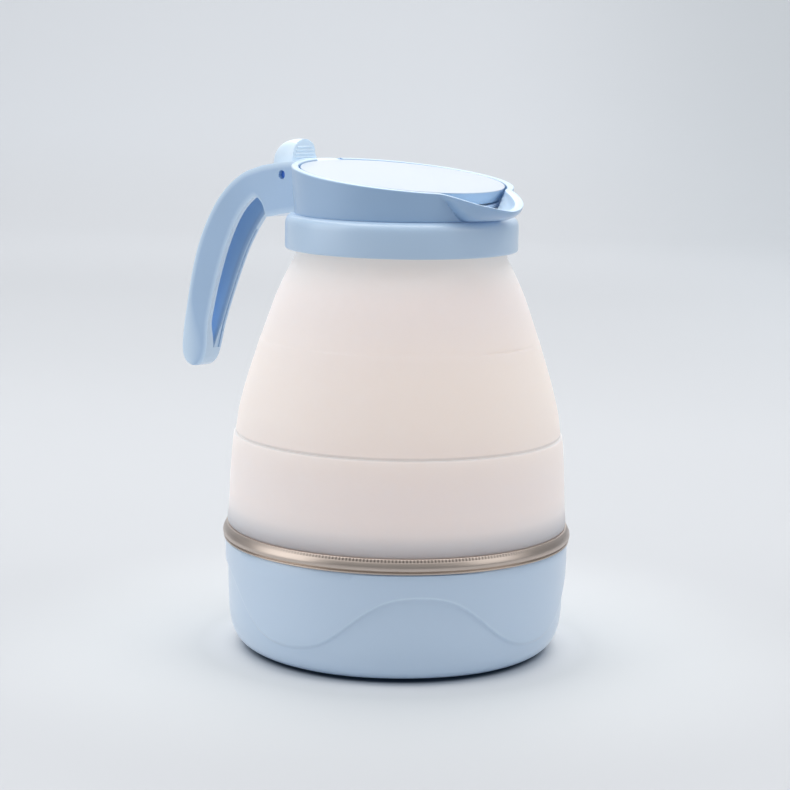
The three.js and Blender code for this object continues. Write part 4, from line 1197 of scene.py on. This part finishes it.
# %% Hidden parts
kept = {
    "heat_plate": aluminium, "heating_element": aluminium, "thermostat": dark_plastic, "thermal_fuse": brass,
    "lead_live": red_lead, "lead_link": red_lead, "lead_neutral": pale_lead, "lead_earth": earth_lead,
}
for name, finish in kept.items():
    mesh = frame["nodes"][name].data
    mesh.materials.clear()
    mesh.materials.append(finish.material)
print("kept as packed:", sorted(kept))

# %% [markdown]
# ## Table, backdrop and light
# The photograph has a pale table that runs up into a pale backdrop without a line, and soft
# light from all sides: most from above, some from the left and right, least from the camera.

# %% Table and backdrop
sweep = bmesh.new()
sweep_depth, sweep_width, sweep_height, bend = 1.6, 6.0, 3.0, 0.8
turns = [(-2.2, 0), (sweep_depth, 0)]
for k in range(1, 15):
    turn = math.radians(6 * k)
    turns.append((sweep_depth + bend * math.sin(turn), bend * (1 - math.cos(turn))))
turns += [(sweep_depth + bend, bend), (sweep_depth + bend, sweep_height)]
left_edge = across * (-sweep_width / 2)
line = [sweep.verts.new(away * far + left_edge + Vector((0, 0, up))) for far, up in turns]
edges = [sweep.edges.new(pair) for pair in zip(line, line[1:])]
made = bmesh.ops.extrude_edge_only(sweep, edges=edges)["geom"]
bmesh.ops.translate(sweep, vec=across * sweep_width, verts=among(made, BMVert))
face_outwards(sweep)
sweep_mesh = bpy.data.meshes.new("table_sweep")
sweep.to_mesh(sweep_mesh)
sweep.free()
sweep_mesh.polygons.foreach_set("use_smooth", [True] * len(sweep_mesh.polygons))
table = bpy.data.objects.new("table_sweep", sweep_mesh)
scene_objects.link(table)
paper = Finish("paper", None, Roughness=0.6)
x, y, rise = (paper.axis(letter) for letter in "XYZ")
toward_camera = x * math.sin(spout_turn) - y * math.cos(spout_turn)
sideways = x * math.cos(spout_turn) + y * math.sin(spout_turn)
beside = (x**2 + y**2) ** 0.5
# The paper's tone is painted light and shade: darker behind the kettle, paler further back and up the bend,
# near white higher up, another tone far to the right, a painted pool of light round the kettle's foot, a
# painted contact shadow in a ring right under the base, and painted shade towards the camera.
far_right = paper.step(sideways, 0.08, 0.5) * paper.step(toward_camera, 0.0, -0.9)
sheet = paper.coats(
    paper.blend(paper.noise(3, 2), paint(179, 181, 184), paint(182, 184, 187)),
    (paper.step(toward_camera, -0.35, -0.8), paint(176, 178, 181)),
    (paper.step(toward_camera, -1.05, -1.6), paint(188, 190, 193)),
    (paper.step(rise, 0.0, 0.12), paint(192, 195, 199)),
    (far_right, paint(180, 184, 188)),
    (paper.step(rise, 0.3, 0.7), paint(245, 247, 250)),
    (paper.step(beside, 0.17, 0.06), paint(197, 200, 202)),
    (paper.step(beside, 0.069, 0.057), paint(214, 216, 218)),
    (paper.step(beside, 0.0535, 0.0495), paint(58, 64, 74)),
    (paper.step(toward_camera, 0.2, 0.8), paint(140, 143, 147)),
)
paper.feed(Base_Color=sheet)
sweep_mesh.materials.append(paper.material)
print("backdrop faces:", len(sweep_mesh.polygons))

# %% [markdown]
# The lights are flat and large, so their shadows are soft. Each one is placed by the direction
# that it comes from, and its power follows from its size, so that size and brightness can be
# set apart from each other. The ceiling is one wide sheet of light.

# %% Light


def softbox(name, azimuth, elevation, distance, size, radiance, reach=None):
    """A flat light that looks at the kettle. Azimuth 0 is the camera's side, and 180 is behind."""
    azimuth, elevation = math.radians(azimuth), math.radians(elevation)
    flat = across * math.sin(azimuth) - away * math.cos(azimuth)
    toward = flat * math.cos(elevation) + Vector((0, 0, math.sin(elevation)))
    data = bpy.data.lights.new(name, "AREA")
    data.shape = "RECTANGLE"
    data.size = size
    data.size_y = reach or size
    data.energy = radiance * math.pi * data.size * data.size_y
    light = bpy.data.objects.new(name, data)
    turned = toward.to_track_quat("Z", "Y").to_matrix().to_4x4()
    light.matrix_world = Matrix.Translation(toward * distance + Vector((0, 0, 0.1))) @ turned
    scene_objects.link(light)
    return light


ceiling = softbox("light_ceiling", 180, 89, 1.7, 2.6, 2.85, reach=2.5)
ceiling.matrix_world = (
    Matrix.Translation(away * 0.7 + Vector((0, 0, 1.8))) @ Matrix.Rotation(spout_turn, 4, "Z")
)
softbox("light_left", -78, 20, 1.4, 1.1, 1.5)
softbox("light_right", 70, 28, 1.4, 0.9, 1.15)
softbox("light_front", 0, 62, 1.5, 2.2, 0.52, reach=1.4)
world = bpy.data.worlds.new("studio")
world.use_nodes = True
background = world.node_tree.nodes["Background"]
background.inputs["Color"].default_value = paint(240, 245, 252)
background.inputs["Strength"].default_value = 0.32
bpy.context.scene.world = world
bpy.context.scene.view_settings.view_transform = "Standard"
